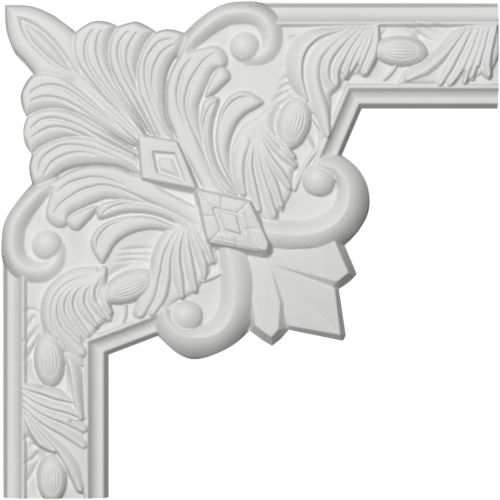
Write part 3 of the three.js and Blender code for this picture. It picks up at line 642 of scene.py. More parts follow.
@dataclass(frozen=True)
class Lobe:
    """A rounded leaf shape with flutes cut into it.

    Attributes:
        outline: its edge, in parts.
        flutes: the lines of its flutes, in parts.
        radius: width of the rounding of its edge, in parts.
    """

    outline: np.ndarray
    flutes: tuple[np.ndarray, ...] = ()
    radius: float = 4.2


@dataclass(frozen=True)
class FlutedLobes:
    """Fluted lobes that are alike on both sides of the diagonal.

    Attributes:
        lobes: the lobes of the upper half, from the diagonal outwards.
        foot: height of the lobes' edges, in millimetres.
        rise: how much higher their middles are, in millimetres.
        widening: how many times wider the rounding of their long flanks gets.
        flute_width: half widths along a flute, in parts.
        flute_depth: depths along a flute, in millimetres.
    """

    lobes: tuple[Lobe, ...] = ()
    foot: float = 8.2
    rise: float = 6.2
    widening: float = 1.9
    flute_width: tuple[float, ...] = (2.2, 3.0, 3.0, 2.4, 1.2)
    flute_depth: tuple[float, ...] = (1.6, 2.4, 2.2, 1.6, 0.6)

    def carve(self, relief: Relief) -> None:
        """Presses the lobes of both halves into the relief.

        Args:
            relief: the relief to press them into.
        """
        for lobe in self.lobes:
            for half in Half:
                relief.pillow(half.place(lobe.outline), self.foot, self.rise, lobe.radius, half.lean, self.widening)
                for flute in lobe.flutes:
                    relief.groove(half.place(flute), self.flute_width, self.flute_depth)


@dataclass(frozen=True)
class Palmette(FlutedLobes):
    """The fan of fluted lobes between the outer corner and the first jewel."""

    lobes: tuple[Lobe, ...] = (
        Lobe(path(76, 32, 85, 25.5, 95, 21.2, 107, 22, 118, 26.5, 112, 37, 109, 50, 110, 64, 115, 78, 126, 97, 146, 133,
            139, 137, 124, 120, 105, 100, 91, 83, 81, 70, 75, 58, 73, 45), (path(93, 32, 88, 40, 86, 50, 88, 62, 96, 76,
            108, 92, 122, 110, 136, 127), path(101, 33, 98, 42, 98, 52, 101, 64, 108, 78, 117, 92))),
        Lobe(path(118, 26.5, 127, 23.5, 137, 22, 147, 26, 156, 32, 148, 40, 142, 52, 138, 65, 137, 78, 141, 96,
            147, 112, 158, 138, 152, 138, 140, 119, 128, 101, 116, 80, 110, 64, 109, 50, 112, 37), (path(128, 33,
            121, 42, 119, 52, 121, 64, 127, 80, 137, 98, 148, 118), path(137, 34, 131, 44, 128, 54, 129, 66, 133, 78,
            140, 94))),
        Lobe(path(156, 32, 165, 29.5, 175, 30, 184, 33, 187, 40, 181, 50, 172, 62, 167, 75, 165, 90, 165, 105, 168, 122,
            176, 141, 161, 139, 152, 124, 145, 108, 139, 95, 137, 78, 138, 65, 142, 52, 148, 40), (path(170, 40,
            160, 43, 152, 52, 147, 62, 146, 74, 148, 88, 153, 104, 160, 122), path(173, 46, 164, 52, 158, 61, 154, 72,
            153, 84, 156, 98))),
    )



@dataclass(frozen=True)
class Fronds(FlutedLobes):
    """The tall fronds that curl out on both sides of the palmette."""

    lobes: tuple[Lobe, ...] = (
        Lobe(path(186, 42, 192, 50, 200, 49, 210, 46.5, 217, 46.5, 223, 50, 227, 56, 228, 62, 225, 68, 215, 71, 208, 84,
            202, 98, 199, 108, 201, 125, 204, 145, 209, 160, 216, 175, 229, 194, 236, 203, 208, 203, 204, 192, 191, 166,
            179, 146, 174, 133, 168, 118, 166, 100, 167, 85, 172, 70, 179, 57), (path(213, 55, 204, 62, 197, 72,
            191, 82, 188, 92, 186, 104, 189, 118, 196, 135, 206, 156, 218, 178), path(191, 60, 184, 70, 180, 82,
            178, 95, 180, 108, 186, 125)), radius=4.5),
        Lobe(path(217, 69, 224, 68, 229, 71, 231, 76, 230, 80, 222, 88, 213, 96, 206, 98, 206, 92, 211, 80),
            radius=4.0),
        Lobe(path(203, 103, 208, 98, 215, 97, 220, 100, 217, 112, 214, 122, 213, 135, 214, 148, 217, 160, 223, 173,
            238, 195, 226, 192, 214, 176, 206, 158, 202, 140, 200, 120), (path(213, 104, 208, 112, 205, 122, 204, 132,
            205, 145, 208, 157, 213, 170, 220, 182),), radius=3.5),
        Lobe(path(221, 108, 228, 98, 235, 93, 243, 91, 252, 93.5, 258, 97, 264, 103, 256, 109, 247, 114, 239, 122,
            233, 134, 230, 147, 230, 157, 233, 172, 240, 195, 229, 180, 220, 162, 216, 146, 216, 132, 218, 119),
            (path(250, 98, 240, 99, 231, 105, 225, 113, 222, 122),), radius=3.5),
    )
    foot: float = 10.3
    rise: float = 5.2
    widening: float = 1.2
    flute_width: tuple[float, ...] = (1.8, 3.0, 3.2, 2.6, 1.4)
    flute_depth: tuple[float, ...] = (1.2, 2.4, 2.4, 1.8, 0.8)



@dataclass(frozen=True)
class CornerScrolls:
    """The two scrolls that end the arms' outer borders, with their round eyes.

    Attributes:
        ground: height at the outline, in millimetres.
        top: height of the band, in millimetres.
        drop: how much lower its outer edge is, in millimetres.
        field: height of its inner edge, in millimetres.
        eye: radius of the eye, in parts.
        eye_place: middle of the eye, in parts.
        eye_foot: height of the eye's rim, in millimetres.
        eye_rise: how much higher its middle is, in millimetres.
    """

    ground: float = 3.2
    top: float = 16.5
    drop: float = 10.0
    field: float = 10.8
    eye: float = 15.0
    eye_place: tuple[float, float] = (245.0, 47.5)
    eye_foot: float = 10.5
    eye_rise: float = 6.0

    def carve(self, relief: Relief) -> None:
        """Presses both scrolls into the relief.

        Args:
            relief: the relief to press them into.
        """
        spine = path(182, 56, 191, 41, 202, 30, 213, 21, 225, 14.5, 238, 12.5, 250, 12.8, 262, 17.5, 270, 29, 271, 42,
                     266, 52, 257, 57, 247, 59)
        outer = [7, 9.5, 12, 13, 13.5, 13.5, 13, 12.5, 12, 12, 11.5, 10, 7]
        inner = [7, 9.5, 11, 12, 13, 12.5, 12.5, 12.5, 12, 11.4, 10, 9, 6]
        top = self.top - np.array([3.5, 1.5, 0.5, 0, 0, 0, 0, 0, 0, 0.5, 1.5, 2.5, 3.5])
        inner_drop = top - self.field
        # From the ninth point on, both sides of the band lie within the scroll.
        outer_drop = np.where(np.arange(len(top)) < 8, self.drop, inner_drop)
        ground = np.vstack([spine[1:7], path(256, -2, 176, -2, 176, 36)])
        for half in Half:
            widths, drops = (outer, inner), (outer_drop, inner_drop)
            if half is Half.LOWER:
                widths, drops = widths[::-1], drops[::-1]
            relief.level(half.place(ground), self.ground)
            relief.blade(half.place(spine), *widths, top, *drops, Section.ARCHED)
            centre = tuple(half.place(path(*self.eye_place))[0])
            relief.dome(centre, self.eye, self.eye, 0, self.eye_foot, self.eye_rise)


@dataclass(frozen=True)
class DishScrolls:
    """The two large scrolls that hold the bowl on the inner side of the corner.

    Attributes:
        ground: height at the outline, in millimetres.
        top: height of the band, in millimetres.
        drop: how much lower its outer edge is, in millimetres.
        ball_foot: height of the ball's rim, in millimetres.
        ball_rise: how much higher its middle is, in millimetres.
        rim_cut: half width and depth of the cut around the ball, in parts and in millimetres.
    """

    ground: float = 3.2
    top: float = 18.0
    drop: float = 12.5
    ball_foot: float = 10.0
    ball_rise: float = 8.0
    rim_cut: tuple[float, float] = (2.8, 2.2)

    def carve(self, relief: Relief) -> None:
        """Presses both scrolls into the relief.

        Args:
            relief: the relief to press them into.
        """
        top = self.top - np.array([1, 0.5, 0, 0, 0, 0, 0, 0, 0.3, 0.6, 1, 1.4])
        outer_drop = self.drop * np.array([0.5, 0.5, 0.5, 0.5, 0.6, 0.85, 1, 1, 1, 0.9, 0.7, 0.5])
        inner_drop = [7, 7, 7, 7, 7, 7, 7, 7, 7, 7, 6, 4]
        inner = [10, 12, 14, 15, 15, 15, 15, 14, 13, 12, 11, 9, 6]
        right = path(246, 226, 262, 231, 280, 234.5, 300, 235.3, 318, 232.5, 330, 227, 339, 220, 346, 209, 348.7, 197,
                     348, 185, 342, 174.5, 332, 167.5, 322, 165)
        right_outer = [14, 15, 15, 15, 17, 19, 20.5, 22, 21.8, 21.5, 19.5, 15, 9]
        left = path(226, 246, 231, 262, 234.5, 277, 235.5, 292, 234.5, 306, 230.5, 318, 223, 328.5, 212, 335.5,
                    199, 337, 187, 335.5, 176, 330, 168, 321, 165, 312)
        left_outer = [14, 19, 19, 18.5, 18, 18.5, 20, 21, 21.5, 22, 20.5, 16, 9]
        relief.level(np.vstack([right[1:11], path(330, 158, 342, 156.5, 380, 156.5, 380, 262, 262, 262)]), self.ground)
        relief.blade(right, inner, right_outer, top, inner_drop, outer_drop, Section.BROAD)
        relief.level(np.vstack([left[1:11], path(158, 330, 156.5, 337, 156.5, 380, 262, 380, 262, 262)]), self.ground)
        relief.blade(left, left_outer, inner, top, outer_drop, inner_drop, Section.BROAD)
        relief.dome((318.5, 180), 17, 16.5, 0, self.ball_foot, self.ball_rise)
        relief.dome((186, 316), 17, 16, 0, self.ball_foot, self.ball_rise)
        cut_width, cut_depth = self.rim_cut[0], self.rim_cut[1] * np.array([0.3, 1, 1, 0.8, 0.2])
        for line in (path(333, 171, 336, 181, 333, 190.5, 326, 196, 317, 196.5, 309, 194),
                     path(202.5, 309, 203.5, 317, 200, 326, 193, 331.5, 184, 332, 175, 329)):
            relief.groove(line, cut_width, cut_depth)


@dataclass(frozen=True)
class Tulip:
    """The flower of three flat petals that points into the panel.

    Attributes:
        foot: height of the petals' edges, in millimetres.
        top: height of the petals, in millimetres.
        flank: rise of the outer petals' flanks towards the middle one, in millimetres a part.
        falls: fall of the middle petal along its ridge in millimetres, and beside it in millimetres a part.
    """

    foot: float = 3.2
    top: float = 12.5
    flank: float = 0.75
    falls: tuple[float, float] = (2.6, 0.09)

    def carve(self, relief: Relief) -> None:
        """Presses the flower into the relief.

        Args:
            relief: the relief to press it into.
        """
        middle = path(250, 238, 339, 289, 346, 336, 343, 341, 289, 330)
        ridge = path(268, 263, 336, 331)
        right = path(246, 232, 341, 236, 357.5, 275, 340, 289, 330, 292.5, 276, 278)
        left = path(242, 246, 270, 250, 285, 272, 292.5, 302, 291, 322, 289, 330, 281, 339, 272, 346, 262, 340,
                    250, 331)
        right_slopes = [1.6, 1.2, 1.2, 1.1, self.flank, 1.6]
        left_slopes = [1.6, 1.6, self.flank, self.flank, 1.0, 1.1, 1.2, 1.2, 1.2, 1.6]
        relief.level(path(256, 250, 350, 246, 365, 274, 350, 350, 272, 350, 250, 331), self.foot)
        relief.plateau(middle, self.foot, self.top, [3, 1.2, 1.2, 1.2, 3], ridge, self.falls)
        relief.plateau(right, self.foot, self.top, right_slopes)
        relief.plateau(left, self.foot, self.top, left_slopes)


@dataclass(frozen=True)
class Jewels:
    """The two cut jewels on the diagonal.

    Attributes:
        small_foot: height of the first jewel's edge, in millimetres.
        small_top: height of the first jewel, in millimetres.
        large_foot: height of the second jewel's edge, in millimetres.
        large_top: height of the second jewel, in millimetres.
        recess: depth of the recess in both, in millimetres.
        small_inset: how far the middle of the first jewel lies below its rim, in millimetres.
        flank: how far the flanks of the second jewel end below its top, in millimetres.
        rim: how far its rim lies below its top, in millimetres.
        rim_foot: how far the foot of its rim lies below its top, in millimetres.
        table_foot: how far the foot of its middle lies below its top, in millimetres.
        facet: half width and depth of the cuts between its facets, in parts and in millimetres.
    """

    small_foot: float = 9.0
    small_top: float = 19.0
    large_foot: float = 8.0
    large_top: float = 23.2
    recess: float = 2.6
    small_inset: float = 0.8
    flank: float = 1.2
    rim: float = 0.6
    rim_foot: float = 2.7
    table_foot: float = 3.2
    facet: tuple[float, float] = (1.8, 1.1)

    def carve(self, relief: Relief) -> None:
        """Presses both jewels into the relief.

        Args:
            relief: the relief to press them into.
        """
        small = path(135, 132, 181, 140, 205, 198, 139, 185)
        table = path(157, 157, 173, 158, 182, 179, 160, 171)
        relief.plateau(small, self.small_foot, self.small_top, slopes=[3, 2.2, 1.3, 2.2])
        relief.sink(path(152, 151, 176, 153, 187, 184, 157, 174), self.recess, slope=1.3)
        relief.plateau(table, self.small_top - self.recess, self.small_top - self.small_inset, slopes=0.6)
        large = path(190, 184, 254, 199, 276, 247, 275.5, 254, 271, 260, 262, 261.5, 204, 250)
        face = path(196, 190, 249, 202, 260, 252, 209, 243)
        inner = path(212, 207, 238, 213, 244, 237.5, 220.5, 230.5)
        top = self.large_top
        relief.plateau(large, self.large_foot, top - self.flank, slopes=[3, 2.5, 1.6, 1.4, 1.3, 1.2, 2.2])
        relief.plateau(face, top - self.rim_foot, top - self.rim, slopes=0.26)
        relief.sink(inner, self.recess, slope=3)
        relief.plateau(inner, top - self.table_foot, top, slopes=[1, 1.1, 1, 0.5])
        edges = (path(222, 196, 222, 208), path(201, 216, 213, 217), path(245, 229, 257, 229), path(236, 238, 237, 249))
        for ends in [*zip(face, inner), *edges]:
            relief.groove(np.array(ends), *self.facet)


@dataclass(frozen=True)
class Finger:
    """One finger of a leaf.

    Attributes:
        spine: the line of its crest, in parts.
        left: widths along its left side, in parts.
        right: widths along its right side, in parts, as on the left where there are none.
        section: form of its section.
    """

    spine: np.ndarray
    left: tuple[float, ...]
    right: tuple[float, ...] = ()
    section: Section = Section.ROUND


@dataclass(frozen=True)
class Leaf:
    """A leaf with a low rounded body and a row of fingers.

    Attributes:
        body: outline of the body, in parts.
        fingers: its fingers, those underneath first.
        rise: how much higher the body's middle is than its edge, in millimetres.
        radius: width of the rounding of the body's edge, in parts.
        lean: how far the fingers' crests lie to the right of their middles, as a share of the width there.
    """

    body: np.ndarray
    fingers: tuple[Finger, ...]
    rise: float = 3.5
    radius: float = 6.0
    lean: float = -0.4


@dataclass(frozen=True)
class Foliage:
    """The leaves and buds that run along both arms and past the jewels.

    Attributes:
        foot: height of the leaves' edges, in millimetres.
        top: height of the fingers' crests, in millimetres.
        fullness: share of its drawn width that a finger takes.
        drop: how much lower a finger's sides are than its crest, in millimetres.
        stem_rise: how much higher a stem is than the ground, in millimetres.
        bud_rise: how much higher a bud's middle is than its rim, in millimetres.
        stripe: half width and depth of the cuts in a bud, in parts and in millimetres.
        stripes: number of those cuts.
        stripe_spread: share of the bud's half width over which they lie.
        stripe_length: share of the bud's length that they take.
        stripe_bow: how far they bend in at their ends, as a share of their distance from the middle.
        ground_cut: half width and depth of the fine cuts in the ground.
        leaf_cut: the same for the cuts between the ends of the fingers.
        husk: the same for the hollows beside the buds.
        leaves: the leaves, those underneath first.
        stems: the thin stems and leaf ends between the leaves, as fingers that lie low.
        ground_cuts: lines of the fine cuts in the ground beside the leaves.
        leaf_cuts: lines of the deep cuts between the ends of the fingers.
        husks: lines of the hollows beside the buds.
        buds: middle, half length and half width in parts, and turn in degrees, of each bud.
    """

    foot: float = 11.0
    top: float = 17.0
    fullness: float = 1.6
    drop: float = 7.0
    stem_rise: float = 2.5
    bud_rise: float = 7.5
    stripe: tuple[float, float] = (1.3, 0.9)
    stripes: int = 6
    stripe_spread: float = 0.55
    stripe_length: float = 0.62
    stripe_bow: float = 0.35
    ground_cut: tuple[float, float] = (4.5, 2.0)
    leaf_cut: tuple[float, float] = (3.0, 2.6)
    husk: tuple[float, float] = (8.0, 2.6)
    leaves: tuple[Leaf, ...] = (
        Leaf(path(258, 116, 272, 106, 284, 112, 288, 128, 289, 146, 294, 153, 296, 160, 298.5, 166, 293, 172,
            292.5, 180, 292, 190, 289, 198, 285, 205, 283, 212, 279, 211, 278, 220, 268, 221.5, 258, 213, 248, 201,
            238, 189, 231, 168, 231, 148, 243, 126), (
            Finger(path(245, 142, 239, 158, 238, 176, 243, 193), (4, 5, 5, 3)),
            Finger(path(252, 146, 249, 165, 252, 187, 258, 209), (2, 3, 4, 3)),
            Finger(path(256, 146, 258, 165, 264, 188, 272, 214), (2, 3, 4, 4)),
            Finger(path(259, 145, 264, 163, 272, 183, 280, 205), (2, 3, 4, 3)),
            Finger(path(261, 141, 268, 157, 278, 172, 288, 187), (2, 3, 4, 3)),
            Finger(path(264, 135, 274, 147, 285, 158, 294, 166), (2, 3.2, 3.5, 2)),
            Finger(path(269, 130, 278, 141, 286, 150, 293, 157), (2, 3, 3, 2)),
        ), rise=3.0, radius=7),
        Leaf(path(190, 218, 200, 226, 210, 240, 218, 255, 217, 263, 210, 266, 210, 273, 203, 281, 197, 290, 186, 297,
            178, 300, 163, 313, 150, 320, 139, 320, 134, 312, 142, 300, 151, 280, 154, 258, 160, 240, 172, 226), (
            Finger(path(178, 226, 166, 240, 159, 256, 156, 272, 150, 292, 140, 312), (3, 4, 4, 4, 6, 5)),
            Finger(path(181, 227, 172, 243, 167, 260, 165, 278, 160, 297, 152, 311), (2, 3, 3.5, 4.5, 5, 4)),
            Finger(path(184, 227, 178, 243, 176, 260, 178, 278, 181, 295), (2, 3, 4, 4.5, 3)),
            Finger(path(187, 227, 186, 243, 188, 260, 191, 276, 194, 289), (2, 3, 4, 4, 3)),
            Finger(path(190, 226, 194, 240, 199, 254, 203, 267, 204, 277), (2, 3, 4, 4, 2)),
            Finger(path(194, 224, 201, 237, 207, 249, 212, 261), (2, 3, 3.5, 2)),
        ), rise=3.0, radius=7),
        Leaf(path(377, 25, 377, 58, 366, 75, 358, 74, 344, 81, 337, 91, 331, 96, 330, 112, 318, 118, 308, 108, 303, 96,
            300, 82, 300, 68, 303, 56, 309, 45, 318, 34, 330, 27), (
            Finger(path(346, 28, 322, 34, 308, 44, 301, 56, 299, 70, 300.5, 84, 306, 100), (2, 3, 3, 3, 3, 3, 2), (1, 3,
                7, 9.5, 9.5, 7, 3), Section.ARCHED),
            Finger(path(352, 28, 333, 40, 318, 53, 312.5, 66, 311.5, 80, 314.5, 94, 320, 110, 325.5, 134), (1, 3, 5, 6,
                6.5, 6.5, 6, 4), (1, 3, 4.5, 5, 5, 5, 5, 3)),
            Finger(path(358, 29, 342, 41, 330, 54, 325, 66, 325, 78, 331, 88), (1, 3, 4, 4, 4, 3), (1, 3, 3.5, 3.5, 4,
                4)),
            Finger(path(363, 29, 350, 43, 341, 57, 335, 70, 335, 84), (1, 3, 4, 4, 3), (1, 3, 3, 3, 3)),
            Finger(path(367, 29, 357, 45, 349, 59, 345, 76), (1, 3, 3.5, 2)),
            Finger(path(370, 29, 363, 43, 357, 57, 351, 70), (1, 3, 3.5, 2)),
            Finger(path(373, 29, 368, 42, 362, 56, 358, 69), (1, 3, 3.5, 2)),
            Finger(path(376, 28, 374, 42, 370, 56, 364, 71), (2, 4, 5, 4), (2, 3, 4, 4)),
        )),
        Leaf(path(453, 31, 470, 26, 495, 25, 500, 45, 496, 63, 487, 77, 480, 75, 472, 81, 464, 85, 440, 85.5, 400, 84.5,
            404, 78, 414, 69, 430, 57, 441, 44), (
            Finger(path(464, 30, 449, 44, 436, 56, 423, 66, 407, 77), (1, 5, 8, 9, 5), (1, 3, 4, 5, 5), Section.ARCHED),
            Finger(path(470, 30, 458, 49, 448, 67, 439, 83), (1, 3.5, 4, 3)),
            Finger(path(477, 30, 467, 51, 458, 70, 449, 83), (1, 3.5, 4, 3)),
            Finger(path(482, 30, 474, 51, 467, 68, 463, 82), (1, 3, 3.5, 2.5)),
            Finger(path(487, 29, 480, 49, 475, 65, 471, 78), (1, 3, 3.5, 2.5)),
            Finger(path(494, 28, 488, 46, 485, 62, 486, 74), (2, 4, 4.5, 4), (1, 3, 3.5, 3)),
        )),
        Leaf(path(60, 276, 100, 268, 108, 285, 112, 305, 112, 320, 104, 323, 97, 330, 92, 341, 84, 342, 84, 352,
            84, 366, 75, 362, 60, 346, 46, 337, 42, 312, 46, 295), (
            Finger(path(96, 270, 70, 277, 55, 289, 49, 301, 47.5, 315, 50, 328, 55, 337), (2, 4, 4, 4, 4, 4, 3)),
            Finger(path(98, 271, 76, 280, 61, 291, 55, 304, 54.5, 317, 60, 331, 68, 341, 79, 352), (1, 3, 3.2, 3.2, 3.2,
                4, 6, 6)),
            Finger(path(100, 272, 82, 281, 68, 290, 62, 301, 62, 312, 68, 324, 79, 336), (1, 3, 3.2, 3.2, 3.2, 4, 3)),
            Finger(path(101, 272, 87, 281, 75, 289, 70, 300, 71, 311, 77, 322, 87, 334), (1, 3, 3.2, 3.2, 3.5, 4, 3)),
            Finger(path(102, 272, 92, 281, 83, 289, 80, 299, 82, 308, 89, 318, 96, 326), (1, 3, 3.5, 4, 4, 4, 2)),
            Finger(path(103, 271, 97, 280, 92, 288, 91, 297, 95, 306, 103, 317), (1, 3, 3.5, 4, 4, 3)),
            Finger(path(104, 269, 102, 280, 100, 291, 103, 302, 109, 312), (2, 3.5, 4, 4.5, 3)),
        )),
        Leaf(path(66, 366, 78, 368, 83, 382, 85, 400, 88, 420, 85, 430, 88, 448, 90, 470, 90, 489, 80, 487, 69, 470,
            59, 452, 42, 448, 31, 438, 24, 425, 24, 386, 45, 387, 66, 392), (
            Finger(path(70, 356, 76, 374, 79, 396, 83, 416), (3, 5.5, 5, 3.5), (3, 5, 5, 4), Section.ARCHED),
            Finger(path(24, 386, 40, 389, 57, 394, 73, 400), (2, 3, 4, 2)),
            Finger(path(24, 391, 38, 399, 53, 404.5, 67, 408, 81, 414), (2, 3, 3.5, 3.5, 3)),
            Finger(path(25, 398, 38, 407, 52, 413.5, 68, 419, 84, 427), (2, 3, 3.5, 4, 4)),
            Finger(path(26, 405, 38, 415, 50, 422.5, 66, 431, 84, 443), (2, 3, 3.5, 4, 4)),
            Finger(path(27, 411, 38, 424, 50, 436, 64, 451, 75, 468, 82, 486), (2, 3, 4, 6, 7, 4.5), (2, 3, 4, 5, 6, 5),
                Section.ARCHED),
            Finger(path(27, 418, 34, 430, 43, 441, 54, 448), (2, 3, 4, 3)),
        ), rise=3.0, radius=6, lean=0.4),
    )
    stems: tuple[Finger, ...] = (
        Finger(path(321, 131, 320, 145, 310, 158, 301, 173, 294, 189), (2, 3, 3, 3, 3)),
        Finger(path(308, 136, 315, 149), (1.5, 1.5)),
        Finger(path(313, 119, 322, 132), (1.5, 2)),
        Finger(path(203, 281, 214, 276, 227, 269), (2, 3, 3)),
        Finger(path(126, 304, 126, 314, 123, 324), (1.5, 1.5, 1.5)),
        Finger(path(141, 300, 140, 310, 138, 320), (1.5, 1.5, 1.5)),
        Finger(path(95, 334, 110, 333, 125, 328, 136, 319), (1.5, 2, 2, 1.5)),
        Finger(path(396, 66, 391, 73, 384, 80), (1.5, 2, 1.5)),
        Finger(path(410, 68, 404, 75, 399, 84), (1.5, 2, 2)),
    )
    ground_cuts: tuple[np.ndarray, ...] = (
        path(316, 36, 304, 44, 294, 58), path(289, 37, 296, 39, 303, 38), path(283, 66, 289, 65, 295, 67), path(294, 69,
        289, 76, 280, 81), path(293, 83, 286, 86, 278, 91), path(291, 90, 282, 95, 272, 102), path(264, 112, 269, 109),
        path(400, 23, 415, 32, 431, 41), path(414, 22, 424, 29, 436, 36), path(432, 24, 440, 28, 446, 32), path(386, 30,
        380, 40, 378, 50), path(24, 311, 32, 310, 40, 312), path(38, 312, 33, 320, 27, 330), path(40, 325, 33, 335,
        25, 348), path(41, 334, 36, 345, 29, 356, 24, 362), path(22, 341, 26, 341), path(24, 439, 28, 437),
        path(30, 443, 38, 448), path(40, 449, 34, 458, 24, 464), path(44, 455, 36, 468, 26, 484), path(120, 250,
        136, 249, 152, 248), path(118, 256, 134, 255, 151, 255), path(116, 262, 134, 260, 150, 262),
    )
    leaf_cuts: tuple[np.ndarray, ...] = (
        path(357, 67, 353, 74, 348, 80), path(341, 74, 342, 81, 341, 88), path(463, 73, 460, 79, 455, 85), path(477, 69,
        475, 76, 469, 82), path(86, 420, 79, 422, 72, 421),
    )
    husks: tuple[np.ndarray, ...] = (
        path(290, 100, 280, 107, 275, 119, 275.5, 133, 281, 147), path(418, 37, 425, 45, 426, 54, 420, 62),
        path(38, 340, 33, 352, 34, 368, 43, 384), path(40, 456, 35, 470, 38, 486, 46, 496), path(100, 300, 104, 284,
        116, 272, 134, 264),
    )
    buds: tuple[tuple[float, ...], ...] = (
        (294, 123.5, 27, 16.5, 106), (400, 51.5, 27.5, 15, 3), (50, 360, 26.5, 15.5, 86), (130, 286.5, 29, 15, -22),
        (52.5, 478, 24, 15, 90),
    )

    def carve(self, relief: Relief) -> None:
        """Presses the leaves, the stems and the buds into the relief and cuts the fine lines.

        Args:
            relief: the relief to press them into.
        """
        cut_width = self.ground_cut[0] * np.array([0.4, 1, 1, 0.5])
        cut_depth = self.ground_cut[1] * np.array([0.3, 1, 0.9, 0.2])
        for line in self.ground_cuts:
            relief.groove(line, cut_width, cut_depth)
        for stem in self.stems:
            relief.blade(stem.spine, stem.left, stem.left, self.foot + self.stem_rise, self.stem_rise + 0.5)
        crest = self.top - np.array([2, 0.5, 0, 0, 1])
        drop = self.drop * np.array([0.4, 0.8, 1, 1, 1])
        for leaf in self.leaves:
            relief.pillow(leaf.body, self.foot, leaf.rise, leaf.radius)
            for finger in leaf.fingers:
                left, right = (np.array(side) * self.fullness for side in (finger.left, finger.right or finger.left))
                relief.blade(finger.spine, left, right, crest, drop, section=finger.section, lean=leaf.lean)
        for lines, cut in ((self.leaf_cuts, self.leaf_cut), (self.husks, self.husk)):
            for line in lines:
                relief.groove(line, *cut)
        for x, y, long, short, degrees in self.buds:
            self.bud(relief, (x, y), long, short, degrees)

    def bud(self, relief: Relief, centre: tuple[float, float], long: float, short: float, degrees: float) -> None:
        """Presses one striped bud into the relief.

        Args:
            relief: the relief to press it into.
            centre: its middle, in parts.
            long: half of its length, in parts.
            short: half of its width, in parts.
            degrees: how far its length is turned.
        """
        relief.dome(centre, long, short, degrees, self.foot + 0.5, self.bud_rise)
        turn = math.radians(degrees)
        along_way = np.array([math.cos(turn), math.sin(turn)])
        across = np.array([-math.sin(turn), math.cos(turn)])
        for share in np.linspace(-self.stripe_spread, self.stripe_spread, self.stripes):
            reach = along_way * (self.stripe_length * long * math.sqrt(1 - share * share))
            middle = np.array(centre) + across * share * short
            bow = across * share * short * self.stripe_bow
            relief.groove(np.array([middle - reach - bow, middle, middle + reach - bow]), *self.stripe)


@dataclass(frozen=True)
class CornerCasting:
    """The whole casting as one mesh.

    Attributes:
        layout: sizes it is drawn in.
        triangles: most triangles of its face.
        softening: rounding of every edge, in parts.
        smooth_angle: edges between faces that meet more steeply stay sharp, in degrees.
    """

    layout: Layout
    triangles: int = 180000
    softening: float = 0.5
    smooth_angle: float = 50.0

    def relief(self) -> Relief:
        """Carves all ornaments into one relief.

        Returns:
            The relief.
        """
        relief = Relief()
        ornaments = (Mouldings(self.layout), CornerScrolls(), DishScrolls(), Tulip(), TipLeaf(), Palmette(), Fronds(),
                     Foliage(), Jewels())
        for ornament in ornaments:
            ornament.carve(relief)
            log.info("carved %s", type(ornament).__name__)
        relief.soften(self.softening)
        return relief

    def face(self) -> bpy.types.Object:
        """Makes the carved face, with its edge drawn onto the outline.

        Returns:
            The face as an open mesh.
        """
        relief = self.relief()
        ring = Outline(self.layout).ring()
        closed = np.vstack([ring, ring[:1]])
        within = inside(relief.x, relief.y, ring)
        signed = np.full(relief.x.shape, np.inf)
        edge = np.zeros(relief.x.shape, bool)
        for a, b in zip(closed, closed[1:]):
            edge[relief.window(np.array([a, b]), 2 * relief.cell)] = True
        found = nearest(relief.x[edge], relief.y[edge], closed)
        signed[edge] = np.where(within[edge], found.distance, -found.distance)
        signed[~edge & ~within] = -np.inf
        half = relief.cell / 2
        near = np.abs(signed[edge]) < half
        x, y = relief.x.copy(), relief.y.copy()
        x[edge] -= np.where(near, found.way[0] * found.distance, 0)
        y[edge] -= np.where(near, found.way[1] * found.distance, 0)
        used = signed > -half
        number = np.cumsum(used.ravel()).reshape(used.shape) - 1
        corners = np.stack([number[:-1, :-1], number[1:, :-1], number[1:, 1:], number[:-1, 1:]], axis=-1)
        valid = np.stack([used[:-1, :-1], used[1:, :-1], used[1:, 1:], used[:-1, 1:]], axis=-1)
        whole = corners[valid.sum(axis=-1) == 4]
        cut = valid.sum(axis=-1) == 3
        part = corners[cut][valid[cut]].reshape(-1, 3)
        points = self.layout.place(x[used], y[used], relief.height[used])
        mesh = bpy.data.meshes.new("panel_moulding_corner")
        mesh.from_pydata(points.tolist(), [], [*whole.tolist(), *part.tolist()])
        mesh.update()
        piece = bpy.data.objects.new("panel_moulding_corner_casting", mesh)
        bpy.context.collection.objects.link(piece)
        return piece

    def build(self, box: tuple[list[float], list[float]]) -> bpy.types.Object:
        """Makes the casting.

        Args:
            box: lowest and highest corner that it may reach, in metres.

        Returns:
            The finished piece.
        """
        piece = self.face()
        bpy.ops.object.select_all(action="DESELECT")
        bpy.context.view_layer.objects.active = piece
        piece.select_set(True)
        log.info("face of %d faces", len(piece.data.polygons))
        thin = piece.modifiers.new("thin_out", "DECIMATE")
        thin.ratio = self.triangles / (2 * len(piece.data.polygons))
        bpy.ops.object.modifier_apply(modifier=thin.name)
        points = np.empty(3 * len(piece.data.vertices), np.float32)
        piece.data.vertices.foreach_get("co", points)
        piece.data.vertices.foreach_set("co", np.clip(points.reshape(-1, 3), *np.array(box)).astype(np.float32).ravel())
        bpy.ops.object.mode_set(mode="EDIT")
        bpy.ops.mesh.select_mode(type="EDGE")
        bpy.ops.mesh.select_all(action="DESELECT")
        bpy.ops.mesh.select_non_manifold(extend=False, use_wire=False, use_boundary=True, use_multi_face=False,
                                         use_non_contiguous=False, use_verts=False)
        bpy.ops.mesh.extrude_edges_move()
        bpy.ops.transform.resize(value=(1, 0, 1), orient_type="GLOBAL", center_override=(0, 0, 0))
        bpy.ops.mesh.edge_face_add()
        bpy.ops.mesh.select_all(action="SELECT")
        bpy.ops.mesh.normals_make_consistent(inside=False)
        bpy.ops.object.mode_set(mode="OBJECT")
        bpy.ops.object.shade_smooth_by_angle(angle=math.radians(self.smooth_angle))
        log.info("casting of %d faces, size %s m", len(piece.data.polygons), [round(v, 4) for v in piece.dimensions])
        return piece


